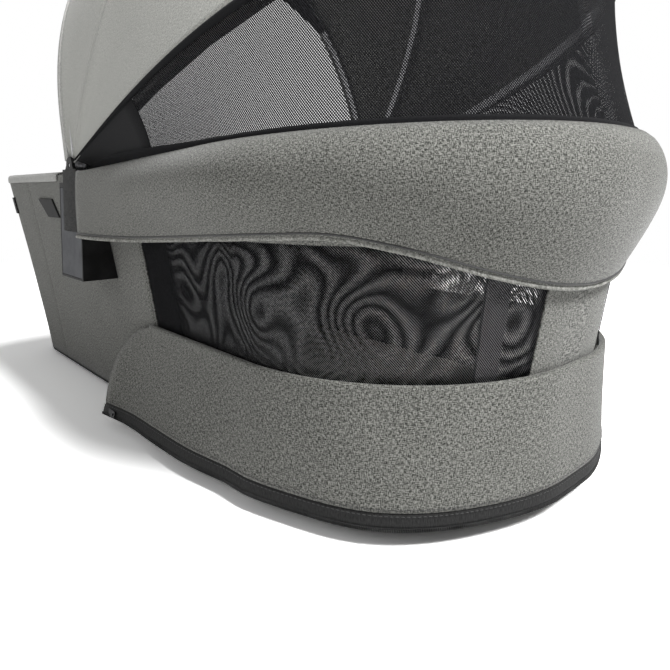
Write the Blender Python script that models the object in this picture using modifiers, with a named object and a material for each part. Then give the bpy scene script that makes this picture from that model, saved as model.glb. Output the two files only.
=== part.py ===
"""A carrycot with a folding hood, modelled as separate rigid and sewn pieces.

The head end is at +X and the foot end at -X, +Z is up and z = 0 is the floor.
Left is -Y, the left hand of someone who stands at the head end and looks along the tub.
All sizes are in metres.
"""

import math

import bmesh
import bpy
from mathutils import Matrix, Vector

# Fits
MESH_GAP = 0.0003
SEAM_GAP = 0.0004
CUT_OVERRUN = 0.004
SOFT_EDGE = 0.0012
FINE_EDGE = 0.0005
MERGE_DISTANCE = 0.00001
FLAT_SHARE = 1e-6
CREASE_ANGLE = 34

# Tub, measured on the outer face of the fabric cover
FOOT_BASE_X = -0.395
HEAD_BASE_X = 0.362
BASE_HALF_WIDTH = 0.165
FOOT_BASE_RADIUS = 0.055
HEAD_BASE_RADIUS = 0.140
RIM_HEIGHT = 0.266
FOOT_RIM_X = -0.430
HEAD_RIM_X = 0.411
RIM_HALF_WIDTH = 0.2125
FOOT_RIM_RADIUS = 0.065
HEAD_RIM_RADIUS = 0.206
RIM_RISE = 0.023
RIM_RISE_START_X = -0.100
SIDE_FOOT_X = -0.280
SIDE_HEAD_X = 0.195
WALL_FLARE_POWER = 1.1
RIM_RISE_POWER = 1.4

# Cover, which wraps over the rim frame, and the mesh windows in it
COVER_THICKNESS = 0.0016
COVER_BASE_HEIGHT = 0.0100
WINDOW_FOOT_X = 0.046
WINDOW_BASE_HEIGHT = 0.110
WINDOW_TOP_HEIGHT = RIM_HEIGHT - 0.056
WINDOW_PANEL_SHARE = 0.87
WINDOW_BORDER = 0.004
RIM_ROLL_RADIUS = 0.0042
RIM_ROLL_WIDTH = 0.0168
RIM_ROLL_DEPTH = 0.0165
MESH_THICKNESS = 0.0010
MESH_INSET = 0.0004

# Rim frame and uprights
RIM_TUBE_RADIUS = 0.0055
RIM_TUBE_INSET = 0.0080
RIM_TUBE_DROP = 0.0078
UPRIGHT_WIDTH = 0.022
UPRIGHT_THICKNESS = 0.0030
UPRIGHT_INSET = 0.0026
UPRIGHT_XS = (-0.250, 0.072)
UPRIGHT_CORNER_SHARE = 0.722
UPRIGHT_STEPS = 4

# Liner and mattress
LINER_INSET = 0.0060
LINER_THICKNESS = 0.0024
MATTRESS_CLEARANCE = 0.0009
MATTRESS_THICKNESS = 0.036
MATTRESS_CROWN = 0.006
MATTRESS_CHANNEL_DEPTH = 0.0045
MATTRESS_CHANNEL_WIDTH = 0.020
MATTRESS_CHANNEL_COUNT = 5
MATTRESS_END_SHARES = (0.0, 0.10, 0.30, 0.62)
MATTRESS_CHANNEL_SHARES = (-1, -0.4, 0, 0.4, 1)
MATTRESS_SIDE_POWER = 4.0
MATTRESS_WAIST_SHARE = 0.012
MATTRESS_SIDES = 24

# Base tray and foot pads
TRAY_FLOOR_HEIGHT = 0.004
TRAY_WALL_TOP = 0.030
TRAY_THICKNESS = 0.0024
TRAY_INSET = 0.0021
TRAY_CHAMFER = 0.0025
PAD_LENGTH = 0.052
PAD_WIDTH = 0.016
PAD_FOOT_X = -0.290
PAD_HEAD_X = 0.250
PAD_Y = 0.105

# Mount blocks with their adapter sockets, release plates and latches
BLOCK_FOOT_X = -0.092
BLOCK_HEAD_X = -0.026
BLOCK_BASE_HEIGHT = RIM_HEIGHT - 0.1130
BLOCK_TOP_HEIGHT = RIM_HEIGHT - 0.0105
BLOCK_FACE_Y = RIM_HALF_WIDTH + 0.0150
BLOCK_WALL_GAP = 0.0005
PLATE_RIM = 0.0020
PLATE_THICKNESS = 0.0030
PLATE_TRAVEL = 0.0040
PLATE_TOP_HEIGHT = BLOCK_TOP_HEIGHT - 0.0055
SOCKET_LENGTH = 0.038
SOCKET_WIDTH = 0.0090
SOCKET_DEPTH = 0.040
SOCKET_FACE_WALL = 0.0030
LATCH_LENGTH = 0.0120
LATCH_HEIGHT = 0.0120
LATCH_WIDTH = 0.0066
LATCH_NOSE = 0.0040
LATCH_BASE_HEIGHT = BLOCK_BASE_HEIGHT + 0.0120

# Hood hinge: three lugs between two cheeks on one pin
PIVOT_X = -0.059
PIVOT_HEIGHT = BLOCK_TOP_HEIGHT + 0.0180
LUG_THICKNESS = 0.0042
LUG_RADIUS = 0.0056
LUG_GAP = 0.0003
CHEEK_THICKNESS = 0.0034
CHEEK_RADIUS = 0.0088
CHEEK_HALF_LENGTH = 0.0140
NOTCH_GAP = 0.0020
BRIDGE_THICKNESS = 0.0030
PIN_RADIUS = 0.0022
PIN_HEAD_RADIUS = 0.0044
PIN_HEAD_THICKNESS = 0.0016

# Hood: bow angles are measured at the pivot, up from +X
REAR_BOW_ANGLE = math.radians(20)
MID_BOW_ANGLE = math.radians(60)
FRONT_BOW_ANGLE = math.radians(105)
HOOD_HALF_WIDTH = BLOCK_FACE_Y - 0.0020
HOOD_REAR_REACH = 0.465
HOOD_MID_REACH = 0.410
HOOD_FRONT_REACH = 0.356
HOOD_REAR_POWER = 2.9
HOOD_MID_POWER = 2.4
HOOD_FRONT_POWER = 2.15
BOW_WIDTH = 0.0090
BOW_LEG = 0.050
BOW_INSET = 0.0030
HOOD_SKIN_THICKNESS = 0.0012
HOOD_SKIN_START = 0.026
REAR_SKIN_RAISE = 0.0104
SKIN_SEAM_GAP = 0.0022
HOOD_MESH_BULGE = 0.004
BAND_WIDTH = 0.020
BAND_THICKNESS = 0.0010
SEAM_BAND_WIDTH = 0.007
GUSSET_FOOT_X = -0.034
GUSSET_HEAD_X = 0.080
PIPING_RADIUS = 0.0022
VISOR_REACH = 0.058
VISOR_THICKNESS = 0.0014
VISOR_START_SHARE = 0.20
VISOR_CRESCENT_POWER = 0.6
VISOR_ROWS = 3
HOOD_TURNS = 19
HOOD_ROWS = 4
REAR_SKIN_ROWS = 4
HOOD_STATIONS = (
    (REAR_BOW_ANGLE, HOOD_REAR_REACH, HOOD_REAR_POWER),
    (MID_BOW_ANGLE, HOOD_MID_REACH, HOOD_MID_POWER),
    (FRONT_BOW_ANGLE, HOOD_FRONT_REACH, HOOD_FRONT_POWER),
)
HOOD_CENTRE = Vector((0, 0, RIM_HEIGHT))
TUB_CENTRE = Vector((0, 0, RIM_HEIGHT / 2))
REAR_SKIN_START = HOOD_SKIN_START + REAR_SKIN_RAISE
REAR_SKIN_DEPTH = HOOD_REAR_REACH * math.sin(REAR_BOW_ANGLE)

# Carry handle on the mid bow
HANDLE_HALF_TURN = math.radians(20.8)
HANDLE_RISE = 0.024
HANDLE_RADIUS = 0.0065
HANDLE_RISE_POWER = 4
HANDLE_STEPS = 16
TAB_LENGTH = 0.018
TAB_STEPS = 4
GRIP_HALF_LENGTH = 0.052
GRIP_THICKNESS = 0.0030

# Valance over the rim, with its black end strips
VALANCE_FOOT_X = -0.0330
VALANCE_FREE_X = -0.0240
VALANCE_SETTLED_X = 0.060
VALANCE_THICKNESS = 0.0016
VALANCE_SEAM_DROP = 0.0010
VALANCE_SEAM_GAP = 0.0006
VALANCE_BULGE = 0.0200
VALANCE_END_BULGE = 0.0012
VALANCE_HEM_GAP = 0.0032
VALANCE_HEM_HIGH = RIM_HEIGHT - 0.052
VALANCE_HEM_LOW = RIM_HEIGHT - 0.093
VALANCE_PEAK_POWER = 0.72
VALANCE_ROWS = 7
STRIP_FOOT_X = -0.0740
STRIP_BASE_HEIGHT = BLOCK_TOP_HEIGHT - 0.0515
STRIP_TOP_HEIGHT = BLOCK_TOP_HEIGHT + 0.0135
STRIP_THICKNESS = 0.0015

# Vent flap, unzipped and folded down below the windows
FLAP_THICKNESS = 0.0024
FLAP_FOLD_HEIGHT = WINDOW_BASE_HEIGHT + 0.0010
FLAP_ROLL = 0.0040
FLAP_SIDE_EDGE_HEIGHT = 0.0270
FLAP_HEAD_EDGE_HEIGHT = 0.0240
FLAP_SEWN_DEPTH = 0.0060
FLAP_TOP_X = 0.044
FLAP_EDGE_X = -0.0110
FLAP_SIDE_FLARE = 0.0325
FLAP_HEAD_FLARE = 0.0135
FLAP_TURN_X = 0.010
FLAP_FLARE_POWER = 1.15
FLAP_ROWS = 5
TAPE_WIDTH = 0.0070
TAPE_THICKNESS = 0.0010
CHAIN_WIDTH = 0.0026
CHAIN_THICKNESS = 0.0022
SLIDER_LENGTH = 0.0150
SLIDER_WIDTH = 0.0100
SLIDER_PLATE = 0.0011
SLIDER_MOUTH = 0.0030
SLIDER_AHEAD_SHARE = 0.16
SLIDER_SHARES = ((-1, 0.55), (-0.6, 1), (0, 0.85), (0.7, 0.66), (1, 0.66))
SLIDER_POST_SHARES = ((-0.85, 0), (-0.55, 0.34), (-0.2, 0), (-0.55, -0.34))
BAIL_RADIUS = 0.0007
EAR_RADIUS = 0.0014
EAR_RISE = 0.0020
EAR_THICKNESS = 0.0010
PULLER_NECK = 0.0032
PULLER_LENGTH = 0.0260
PULLER_WIDTH = 0.0066
PULLER_THICKNESS = 0.0014
PULLER_HOLE_RADIUS = 0.0017
PULLER_NECK_SHARES = (0.20, 0.35)

# Apron over the foot end, and the press pads on the cover
APRON_HEAD_X = -0.150
APRON_THICKNESS = 0.0020
APRON_GAP = 0.0004
APRON_SKIRT = 0.0085
APRON_CROWN = 0.012
APRON_SPINE_FOOT = 0.085
APRON_ROW_SHARES = (0.0, 0.12, 0.35, 0.65, 1.0)
PRESS_PAD_THICKNESS = 0.0022
PRESS_PAD_TOP = RIM_HEIGHT - 0.030
PRESS_PAD_BASE = RIM_HEIGHT - 0.053
PRESS_PAD_TOP_XS = (-0.240, -0.186)
PRESS_PAD_BASE_XS = (-0.214, -0.172)
PRESS_PAD_CORNER_SHARES = (3 / 5, 4 / 5, 1.0)

# The seven stretches of half the tub's outline, from the foot end to the head end
FOOT_END, FOOT_CORNER, FOOT_RUN, SIDE, HEAD_RUN, HEAD_CORNER, HEAD_END = range(7)
SECTION_STEPS = (2, 5, 1, 4, 1, 9, 1)
HEAD_MIDDLE = 7.0
LEFT = -1
RIGHT = 1
SIDES = {"left": LEFT, "right": RIGHT}
PIVOT = Vector((PIVOT_X, 0, PIVOT_HEIGHT))
X_AXIS = Vector((1, 0, 0))
Y_AXIS = Vector((0, 1, 0))
Z_AXIS = Vector((0, 0, 1))

# Heights of the valance's hem along the outline, as shares from its lowest to its highest
VALANCE_HEM_SHARES = (0.62, 0.63, 0.85, 0.93, 1.0, 0.45, 0.03, 0.0)
VALANCE_HEM_PLACE_SHARES = (0.33, 0.67)

MATERIALS = {
    "melange_fabric": ((0.135, 0.135, 0.122, 1), 0.92, 0.0),
    "light_fabric": ((0.36, 0.36, 0.34, 1), 0.90, 0.0),
    "black_mesh": ((0.020, 0.020, 0.021, 1), 0.70, 0.0),
    "black_fabric": ((0.012, 0.012, 0.013, 1), 0.90, 0.0),
    "black_plastic": ((0.008, 0.008, 0.009, 1), 0.42, 0.0),
    "grey_plastic": ((0.085, 0.086, 0.092, 1), 0.50, 0.0),
    "black_rubber": ((0.010, 0.010, 0.010, 1), 0.85, 0.0),
    "frame_metal": ((0.40, 0.40, 0.42, 1), 0.35, 1.0),
    "lining_fabric": ((0.22, 0.22, 0.21, 1), 0.95, 0.0),
    "mattress_fabric": ((0.70, 0.70, 0.68, 1), 0.95, 0.0),
    "leatherette": ((0.020, 0.018, 0.017, 1), 0.55, 0.0),
    "zip_metal": ((0.10, 0.10, 0.11, 1), 0.38, 1.0),
}


def clear_scene():
    for old in list(bpy.data.objects):
        bpy.data.objects.remove(old, do_unlink=True)


def make_collection(name, hidden=False):
    made = bpy.data.collections.new(name)
    bpy.context.scene.collection.children.link(made)
    made.hide_render = hidden
    return made


def make_material(name):
    color, roughness, metallic = MATERIALS[name]
    made = bpy.data.materials.new(name)
    made.use_nodes = True
    shader = made.node_tree.nodes["Principled BSDF"]
    shader.inputs["Base Color"].default_value = color
    shader.inputs["Roughness"].default_value = roughness
    shader.inputs["Metallic"].default_value = metallic
    made.diffuse_color = color
    return made


def material(name):
    return bpy.data.materials.get(name) or make_material(name)


def blend(start, end, share):
    return start + (end - start) * share


def limited(value, low=0.0, high=1.0):
    return max(low, min(high, value))


def eased(value):
    """A share from 0 to 1 that starts and ends level."""
    value = limited(value)
    return value * value * (3 - 2 * value)


def smooth_value(stations, place):
    """The value at a place on a smooth curve through (place, value) stations."""
    places = [station[0] for station in stations]
    values = [station[1] for station in stations]
    if place <= places[0]:
        return values[0]
    last = len(places) - 1
    if place >= places[last]:
        return values[last]
    index = max(i for i in range(last) if places[i] <= place)

    def slope(i):
        low, high = max(i - 1, 0), min(i + 1, last)
        return (values[high] - values[low]) / (places[high] - places[low])

    step = places[index + 1] - places[index]
    share = (place - places[index]) / step
    rise = values[index + 1] - values[index]
    start, end = slope(index) * step, slope(index + 1) * step
    return (
        values[index]
        + rise * eased(share)
        + start * share * (1 - share) ** 2
        - end * (1 - share) * share**2
    )


# Tub outline


def wall_sizes(height):
    """Ends, half width and corner radii of the cover's outer face at a height."""
    share = (max(height, 0.0) / RIM_HEIGHT) ** WALL_FLARE_POWER
    return (
        blend(FOOT_BASE_X, FOOT_RIM_X, share),
        blend(HEAD_BASE_X, HEAD_RIM_X, share),
        blend(BASE_HALF_WIDTH, RIM_HALF_WIDTH, share),
        blend(FOOT_BASE_RADIUS, FOOT_RIM_RADIUS, share),
        blend(HEAD_BASE_RADIUS, HEAD_RIM_RADIUS, share),
    )


def wall_half_width(height):
    return wall_sizes(height)[2]


def side_column(x):
    """The column of a place on the straight side, where columns stand at one X."""
    return SIDE + (x - SIDE_FOOT_X) / (SIDE_HEAD_X - SIDE_FOOT_X)


def wall_plan(column, height, outset=0.0):
    """A point of half the outline, seen from above, in the half where Y is positive."""
    foot_x, head_x, half_width, foot_radius, head_radius = wall_sizes(height)
    section = min(int(column), HEAD_END)
    share = column - section
    foot_centre = Vector((foot_x + foot_radius, half_width - foot_radius))
    head_centre = Vector((head_x - head_radius, half_width - head_radius))
    if section == FOOT_END:
        return Vector((foot_x - outset, foot_centre.y * share))
    if section == HEAD_END:
        return Vector((head_x + outset, head_centre.y * (1 - share)))
    if section == FOOT_CORNER:
        angle = math.pi - share * math.pi / 2
        return foot_centre + (foot_radius + outset) * Vector((math.cos(angle), math.sin(angle)))
    if section == HEAD_CORNER:
        angle = (1 - share) * math.pi / 2
        return head_centre + (head_radius + outset) * Vector((math.cos(angle), math.sin(angle)))
    ends = {
        FOOT_RUN: (foot_centre.x, SIDE_FOOT_X),
        SIDE: (SIDE_FOOT_X, SIDE_HEAD_X),
        HEAD_RUN: (SIDE_HEAD_X, head_centre.x),
    }[section]
    return Vector((blend(ends[0], ends[1], share), half_width + outset))


def wall_point(place, height, outset=0.0):
    """A point beside the cover's outer face. A place is a side and a column."""
    side, column = place
    plan = wall_plan(column, height, outset)
    return Vector((plan.x, side * plan.y, height))


def rim_height(column):
    """The rim is level from the foot end and rises in a parabola to the head end."""
    x = wall_plan(column, RIM_HEIGHT).x
    share = limited((x - RIM_RISE_START_X) / (HEAD_RIM_X - RIM_RISE_START_X))
    return RIM_HEIGHT + RIM_RISE * share**RIM_RISE_POWER


def columns_between(start, end):
    """Columns from one to another, at the even steps of each stretch between them."""
    found = [start]
    for section, steps in enumerate(SECTION_STEPS):
        for step in range(steps):
            column = section + step / steps
            if start + MERGE_DISTANCE < column < end - MERGE_DISTANCE:
                found.append(column)
    return found + [end]


def head_track(start, extra=()):
    """Places from a column on the left, round the head end, to the same on the right."""
    half = sorted(columns_between(start, HEAD_MIDDLE) + list(extra))
    return [(LEFT, column) for column in half] + [(RIGHT, column) for column in half[-2::-1]]


def foot_track(start):
    """Places from a column on the left, round the foot end, to the same on the right."""
    half = columns_between(0.0, start)
    return [(LEFT, column) for column in half[::-1]] + [(RIGHT, column) for column in half[1:]]


def side_track(side, start, end):
    return [(side, column) for column in columns_between(start, end)]


# Building blocks


def add_object(name, mesh, material_name, collection="parts"):
    made = bpy.data.objects.new(name, mesh)
    COLLECTIONS[collection].objects.link(made)
    if collection == "parts":
        mesh.materials.clear()
        mesh.materials.append(material(material_name))
        mesh.shade_smooth()
        mesh.set_sharp_from_angle(angle=math.radians(CREASE_ANGLE))
    else:
        made.hide_render = True
        made.display_type = "WIRE"
    return made


def add_solidify(made, thickness):
    solid = made.modifiers.new("Thickness", "SOLIDIFY")
    solid.thickness = thickness
    solid.offset = -1
    solid.use_even_offset = True
    return solid


def add_bevel(made, width, segments=1, angle=40):
    bevel = made.modifiers.new("Edges", "BEVEL")
    bevel.width = width
    bevel.segments = segments
    bevel.limit_method = "ANGLE"
    bevel.angle_limit = math.radians(angle)
    return bevel


def add_mirror(made):
    mirror = made.modifiers.new("Other half", "MIRROR")
    mirror.use_axis = (False, True, False)
    mirror.merge_threshold = MERGE_DISTANCE
    return mirror


def put_origin(made, point):
    """Moves a piece's origin without moving its shape."""
    made.data.transform(Matrix.Translation(-point))
    made.location = point


def combine(made, other, operation):
    join = made.modifiers.new(operation.title() + " " + other.name, "BOOLEAN")
    join.operation = operation
    join.object = other
    return join


def surface(name, rows, material_name, inside, skipped=None):
    """An open sheet through rows of points, with its faces turned away from a point."""
    build = bmesh.new()
    grid = [[build.verts.new(point) for point in row] for row in rows]
    for row in range(len(grid) - 1):
        for column in range(len(grid[0]) - 1):
            if skipped and skipped(row, column):
                continue
            corners = (
                grid[row][column],
                grid[row][column + 1],
                grid[row + 1][column + 1],
                grid[row + 1][column],
            )
            build.faces.new(corners)
    loose = [vert for vert in build.verts if not vert.link_faces]
    bmesh.ops.delete(build, geom=loose, context="VERTS")
    bmesh.ops.remove_doubles(build, verts=build.verts, dist=MERGE_DISTANCE)
    build.normal_update()
    outward = sum(
        face.normal.dot(face.calc_center_median() - inside) * face.calc_area()
        for face in build.faces
    )
    if outward < 0:
        bmesh.ops.reverse_faces(build, faces=build.faces)
    mesh = bpy.data.meshes.new(name)
    build.to_mesh(mesh)
    build.free()
    return add_object(name, mesh, material_name)


def sheet(name, rows, thickness, material_name, inside=TUB_CENTRE, skipped=None):
    made = surface(name, rows, material_name, inside, skipped)
    add_solidify(made, thickness)
    return made


def loft(name, rings, material_name, collection="parts"):
    """A closed solid through closed rings of points, capped at both ends."""
    build = bmesh.new()
    verts = [[build.verts.new(point) for point in ring] for ring in rings]
    count = len(rings[0])
    for near, far in zip(verts, verts[1:]):
        for i in range(count):
            build.faces.new((near[i], near[(i + 1) % count], far[(i + 1) % count], far[i]))
    build.faces.new(verts[0][::-1])
    build.faces.new(verts[-1])
    bmesh.ops.recalc_face_normals(build, faces=build.faces)
    mesh = bpy.data.meshes.new(name)
    build.to_mesh(mesh)
    build.free()
    return add_object(name, mesh, material_name, collection)


def solid_from_curve(name, curve, matrix, material_name, collection="parts"):
    """The solid of a curve object as a mesh with welded caps."""
    guide = bpy.data.objects.new(name + " guide", curve)
    bpy.context.scene.collection.objects.link(guide)
    graph = bpy.context.evaluated_depsgraph_get()
    mesh = bpy.data.meshes.new_from_object(guide.evaluated_get(graph))
    bpy.data.objects.remove(guide, do_unlink=True)
    build = bmesh.new()
    build.from_mesh(mesh)
    bmesh.ops.remove_doubles(build, verts=build.verts, dist=MERGE_DISTANCE)
    build.transform(matrix)
    bmesh.ops.recalc_face_normals(build, faces=build.faces)
    build.to_mesh(mesh)
    build.free()
    mesh.name = name
    return add_object(name, mesh, material_name, collection)


def outline_solid(name, outlines, thickness, matrix, material_name, collection="parts"):
    """A flat plate: 2D outlines in the local XY plane, extruded both ways along local Z."""
    curve = bpy.data.curves.new(name, "CURVE")
    curve.dimensions = "2D"
    curve.fill_mode = "BOTH"
    curve.extrude = thickness / 2
    for points in outlines:
        spline = curve.splines.new("POLY")
        spline.points.add(len(points) - 1)
        for spot, (u, v) in zip(spline.points, points):
            spot.co = (u, v, 0, 1)
        spline.use_cyclic_u = True
    return solid_from_curve(name, curve, matrix, material_name, collection)


def tube(name, points, radius, material_name, cyclic=False, sides=2, collection="parts"):
    """A round tube or rod along points."""
    curve = bpy.data.curves.new(name, "CURVE")
    curve.dimensions = "3D"
    curve.bevel_depth = radius
    curve.bevel_resolution = sides
    curve.use_fill_caps = True
    spline = curve.splines.new("POLY")
    spline.points.add(len(points) - 1)
    for spot, point in zip(spline.points, points):
        spot.co = (*point, 1)
    spline.use_cyclic_u = cyclic
    return solid_from_curve(name, curve, Matrix.Identity(4), material_name, collection)


def box(name, low, high):
    """A cutter between two corners."""
    low, high = Vector(low), Vector(high)
    build = bmesh.new()
    bmesh.ops.create_cube(build, size=1)
    size = high - low
    build.transform(Matrix.Translation((low + high) / 2) @ Matrix.Diagonal((*size, 1)))
    mesh = bpy.data.meshes.new(name)
    build.to_mesh(mesh)
    build.free()
    return add_object(name, mesh, "black_plastic", "cutters")


def cylinder(name, start, end, radius, sides=24):
    """A cutter that is a round bar between two points."""
    start, end = Vector(start), Vector(end)
    run = end - start
    build = bmesh.new()
    bmesh.ops.create_cone(
        build, cap_ends=True, segments=sides, radius1=radius, radius2=radius, depth=run.length
    )
    turn = run.to_track_quat("Z", "Y").to_matrix().to_4x4()
    build.transform(Matrix.Translation((start + end) / 2) @ turn)
    mesh = bpy.data.meshes.new(name)
    build.to_mesh(mesh)
    build.free()
    return add_object(name, mesh, "black_plastic", "cutters")


def arc(centre, radius, start, end, steps):
    """Points (u, v) on an arc between two angles in radians."""
    return [
        (
            centre[0] + radius * math.cos(blend(start, end, step / steps)),
            centre[1] + radius * math.sin(blend(start, end, step / steps)),
        )
        for step in range(steps + 1)
    ]


def round_slot(half_length, radius, steps=6):
    """The outline of a slot with round ends along u."""
    quarter = math.pi / 2
    head = arc((half_length - radius, 0), radius, -quarter, quarter, steps)
    foot = arc((radius - half_length, 0), radius, quarter, 3 * quarter, steps)
    return head + foot


def plane(origin, u, v):
    """The matrix of a flat outline whose axes point along u and v."""
    u, v = Vector(u), Vector(v)
    w = u.cross(v)
    turn = Matrix((u, v, w)).transposed().to_4x4()
    return Matrix.Translation(Vector(origin)) @ turn


# Base tray and foot pads


def spine_point(point, foot_limit, head_limit, height):
    return Vector((limited(point.x, foot_limit, head_limit), 0, height))


def make_base_tray():
    places = side_track(LEFT, 0.0, HEAD_MIDDLE)
    lip_top = COVER_BASE_HEIGHT - 2 * MESH_GAP
    profile = (
        (TRAY_WALL_TOP, -TRAY_INSET),
        (lip_top, -TRAY_INSET),
        (lip_top, 0.0),
        (TRAY_FLOOR_HEIGHT + TRAY_CHAMFER, 0.0),
        (TRAY_FLOOR_HEIGHT, -TRAY_CHAMFER),
    )
    rows = [
        [wall_point(place, height, outset) for place in places] for height, outset in profile
    ]
    foot_limit = FOOT_BASE_X + BASE_HALF_WIDTH
    head_limit = HEAD_BASE_X - BASE_HALF_WIDTH
    edge = rows[-1]
    rows.append(
        [
            point.lerp(spine_point(point, foot_limit, head_limit, TRAY_FLOOR_HEIGHT), 0.5)
            for point in edge
        ]
    )
    rows.append([spine_point(point, foot_limit, head_limit, TRAY_FLOOR_HEIGHT) for point in edge])
    tray = surface("base_tray", rows, "black_plastic", Vector((0, 0, TRAY_WALL_TOP)))
    add_mirror(tray)
    add_solidify(tray, TRAY_THICKNESS)


def make_foot_pads():
    height = TRAY_FLOOR_HEIGHT - MESH_GAP
    for end, x in (("foot", PAD_FOOT_X), ("head", PAD_HEAD_X)):
        for name, side in SIDES.items():
            place = plane((x, side * PAD_Y, height / 2), X_AXIS, Y_AXIS)
            outline = round_slot(PAD_LENGTH / 2, PAD_WIDTH / 2)
            pad = outline_solid(
                "foot_pad_" + end + "_" + name, [outline], height, place, "black_rubber"
            )
            add_bevel(pad, FINE_EDGE)


# Frame


def make_rim_frame():
    places = [(LEFT, column) for column in columns_between(0.0, HEAD_MIDDLE)]
    places += [(RIGHT, column) for _, column in places[-2:0:-1]]
    points = []
    for place in places:
        height = rim_height(place[1]) - RIM_TUBE_DROP
        points.append(wall_point(place, height, -RIM_TUBE_INSET))
    tube("rim_frame", points, RIM_TUBE_RADIUS, "frame_metal", cyclic=True)


def upright_columns():
    """First and last column of each upright on one side, from the foot end."""
    found = []
    for x in UPRIGHT_XS:
        found.append((side_column(x - UPRIGHT_WIDTH / 2), side_column(x + UPRIGHT_WIDTH / 2)))
    middle = HEAD_CORNER + UPRIGHT_CORNER_SHARE
    reach = UPRIGHT_WIDTH / (HEAD_RIM_RADIUS * math.pi)
    found.append((middle - reach, middle + reach))
    return found


def make_uprights():
    """Flat struts that stand on the tray's wall and carry the rim frame."""
    base = TRAY_WALL_TOP + MESH_GAP
    for name, side in SIDES.items():
        for number, columns in enumerate(upright_columns(), 1):
            rows = []
            for step in range(UPRIGHT_STEPS + 1):
                row = []
                for column in columns:
                    top = rim_height(column) - RIM_TUBE_DROP - RIM_TUBE_RADIUS - 2 * MESH_GAP
                    height = blend(base, top, step / UPRIGHT_STEPS)
                    row.append(wall_point((side, column), height, -UPRIGHT_INSET))
                rows.append(row)
            label = "upright_" + name + "_" + str(number)
            sheet(label, rows, UPRIGHT_THICKNESS, "black_plastic")


# Cover, windows and liner


def cover_rows(places, windows=False):
    """Rows of the cover from its lower hem to the fold inside the rim."""
    profile = []
    for place in places:
        rim = rim_height(place[1])
        column = [
            (COVER_BASE_HEIGHT, 0.0),
            (blend(COVER_BASE_HEIGHT, WINDOW_BASE_HEIGHT, 0.5), 0.0),
            (FLAP_FOLD_HEIGHT - FLAP_SEWN_DEPTH, 0.0),
            (WINDOW_BASE_HEIGHT, 0.0),
            (blend(WINDOW_BASE_HEIGHT, WINDOW_TOP_HEIGHT, 0.5), 0.0),
            (WINDOW_TOP_HEIGHT, 0.0),
            (rim - RIM_ROLL_RADIUS, 0.0),
            (rim, -RIM_ROLL_RADIUS),
            (rim, RIM_ROLL_RADIUS - RIM_ROLL_WIDTH),
            (rim - RIM_ROLL_RADIUS, -RIM_ROLL_WIDTH),
            (rim - RIM_ROLL_DEPTH, -RIM_ROLL_WIDTH),
        ]
        profile.append([wall_point(place, height, outset) for height, outset in column])
    return [list(row) for row in zip(*profile)]


def cut_hinge_notch(made, side):
    combine(made, COLLECTIONS["cutters"].objects["hinge notch " + str(side)], "DIFFERENCE")


def make_cover():
    seam = SEAM_GAP / (SIDE_HEAD_X - SIDE_FOOT_X) / 2
    foot_end = float(SIDE)
    window = side_column(WINDOW_FOOT_X)
    sheet("cover_foot", cover_rows(foot_track(foot_end - seam)), COVER_THICKNESS, "melange_fabric")
    for name, side in SIDES.items():
        places = side_track(side, foot_end + seam, window - seam)
        panel = sheet(
            "cover_side_" + name, cover_rows(places), COVER_THICKNESS, "melange_fabric"
        )
        cut_hinge_notch(panel, side)
    half = columns_between(window + seam, HEAD_MIDDLE)
    panel_edge = HEAD_CORNER + WINDOW_PANEL_SHARE
    window_edge = side_column(WINDOW_FOOT_X + WINDOW_BORDER)
    half = sorted(set(half + [panel_edge, window_edge]))
    places = [(LEFT, column) for column in half]
    places += [(RIGHT, column) for column in half[-2::-1]]

    def in_window(row, index):
        middle = (places[index][1] + places[index + 1][1]) / 2
        return row in (3, 4) and window_edge < middle < panel_edge

    sheet(
        "cover_head", cover_rows(places), COVER_THICKNESS, "melange_fabric", skipped=in_window
    )


def window_rows(side, inset, gap):
    """Rows of a mesh panel that fills one window at some depth in the wall."""
    start = side_column(WINDOW_FOOT_X + WINDOW_BORDER + gap)
    end = HEAD_CORNER + WINDOW_PANEL_SHARE - gap / HEAD_BASE_RADIUS
    places = [(side, column) for column in columns_between(start, end)]
    base = WINDOW_BASE_HEIGHT + gap
    top = WINDOW_TOP_HEIGHT - gap
    rows = []
    for step in range(3):
        height = blend(base, top, step / 2)
        rows.append([wall_point(place, height, -inset) for place in places])
    return rows


def make_windows():
    for name, side in SIDES.items():
        sheet(
            "vent_mesh_" + name, window_rows(side, MESH_INSET, SEAM_GAP), MESH_THICKNESS, "black_mesh"
        )
        sheet(
            "liner_mesh_" + name,
            window_rows(side, LINER_INSET + MESH_INSET, SEAM_GAP),
            MESH_THICKNESS,
            "black_mesh",
        )


def make_liner():
    half = columns_between(0.0, HEAD_MIDDLE)
    panel_edge = HEAD_CORNER + WINDOW_PANEL_SHARE
    window_edge = side_column(WINDOW_FOOT_X + WINDOW_BORDER)
    half = sorted(set(half + [panel_edge, window_edge]))
    places = [(LEFT, column) for column in half]
    base = TRAY_FLOOR_HEIGHT + TRAY_THICKNESS + 2 * MESH_GAP
    profile = []
    for place in places:
        top = rim_height(place[1]) - RIM_TUBE_DROP - RIM_TUBE_RADIUS - 2 * MESH_GAP
        low = blend(base, WINDOW_BASE_HEIGHT, 0.2)
        middle = blend(base, WINDOW_BASE_HEIGHT, 0.55)
        heights = (base, low, middle, WINDOW_BASE_HEIGHT, WINDOW_TOP_HEIGHT, top)
        profile.append([wall_point(place, height, -LINER_INSET) for height in heights])
    rows = [list(row) for row in zip(*profile)]

    def in_window(row, index):
        middle = (places[index][1] + places[index + 1][1]) / 2
        return row == 3 and window_edge < middle < panel_edge

    liner = surface("liner", rows, "lining_fabric", Vector((0, 0, WINDOW_BASE_HEIGHT)), in_window)
    add_mirror(liner)
    add_solidify(liner, LINER_THICKNESS)


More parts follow.
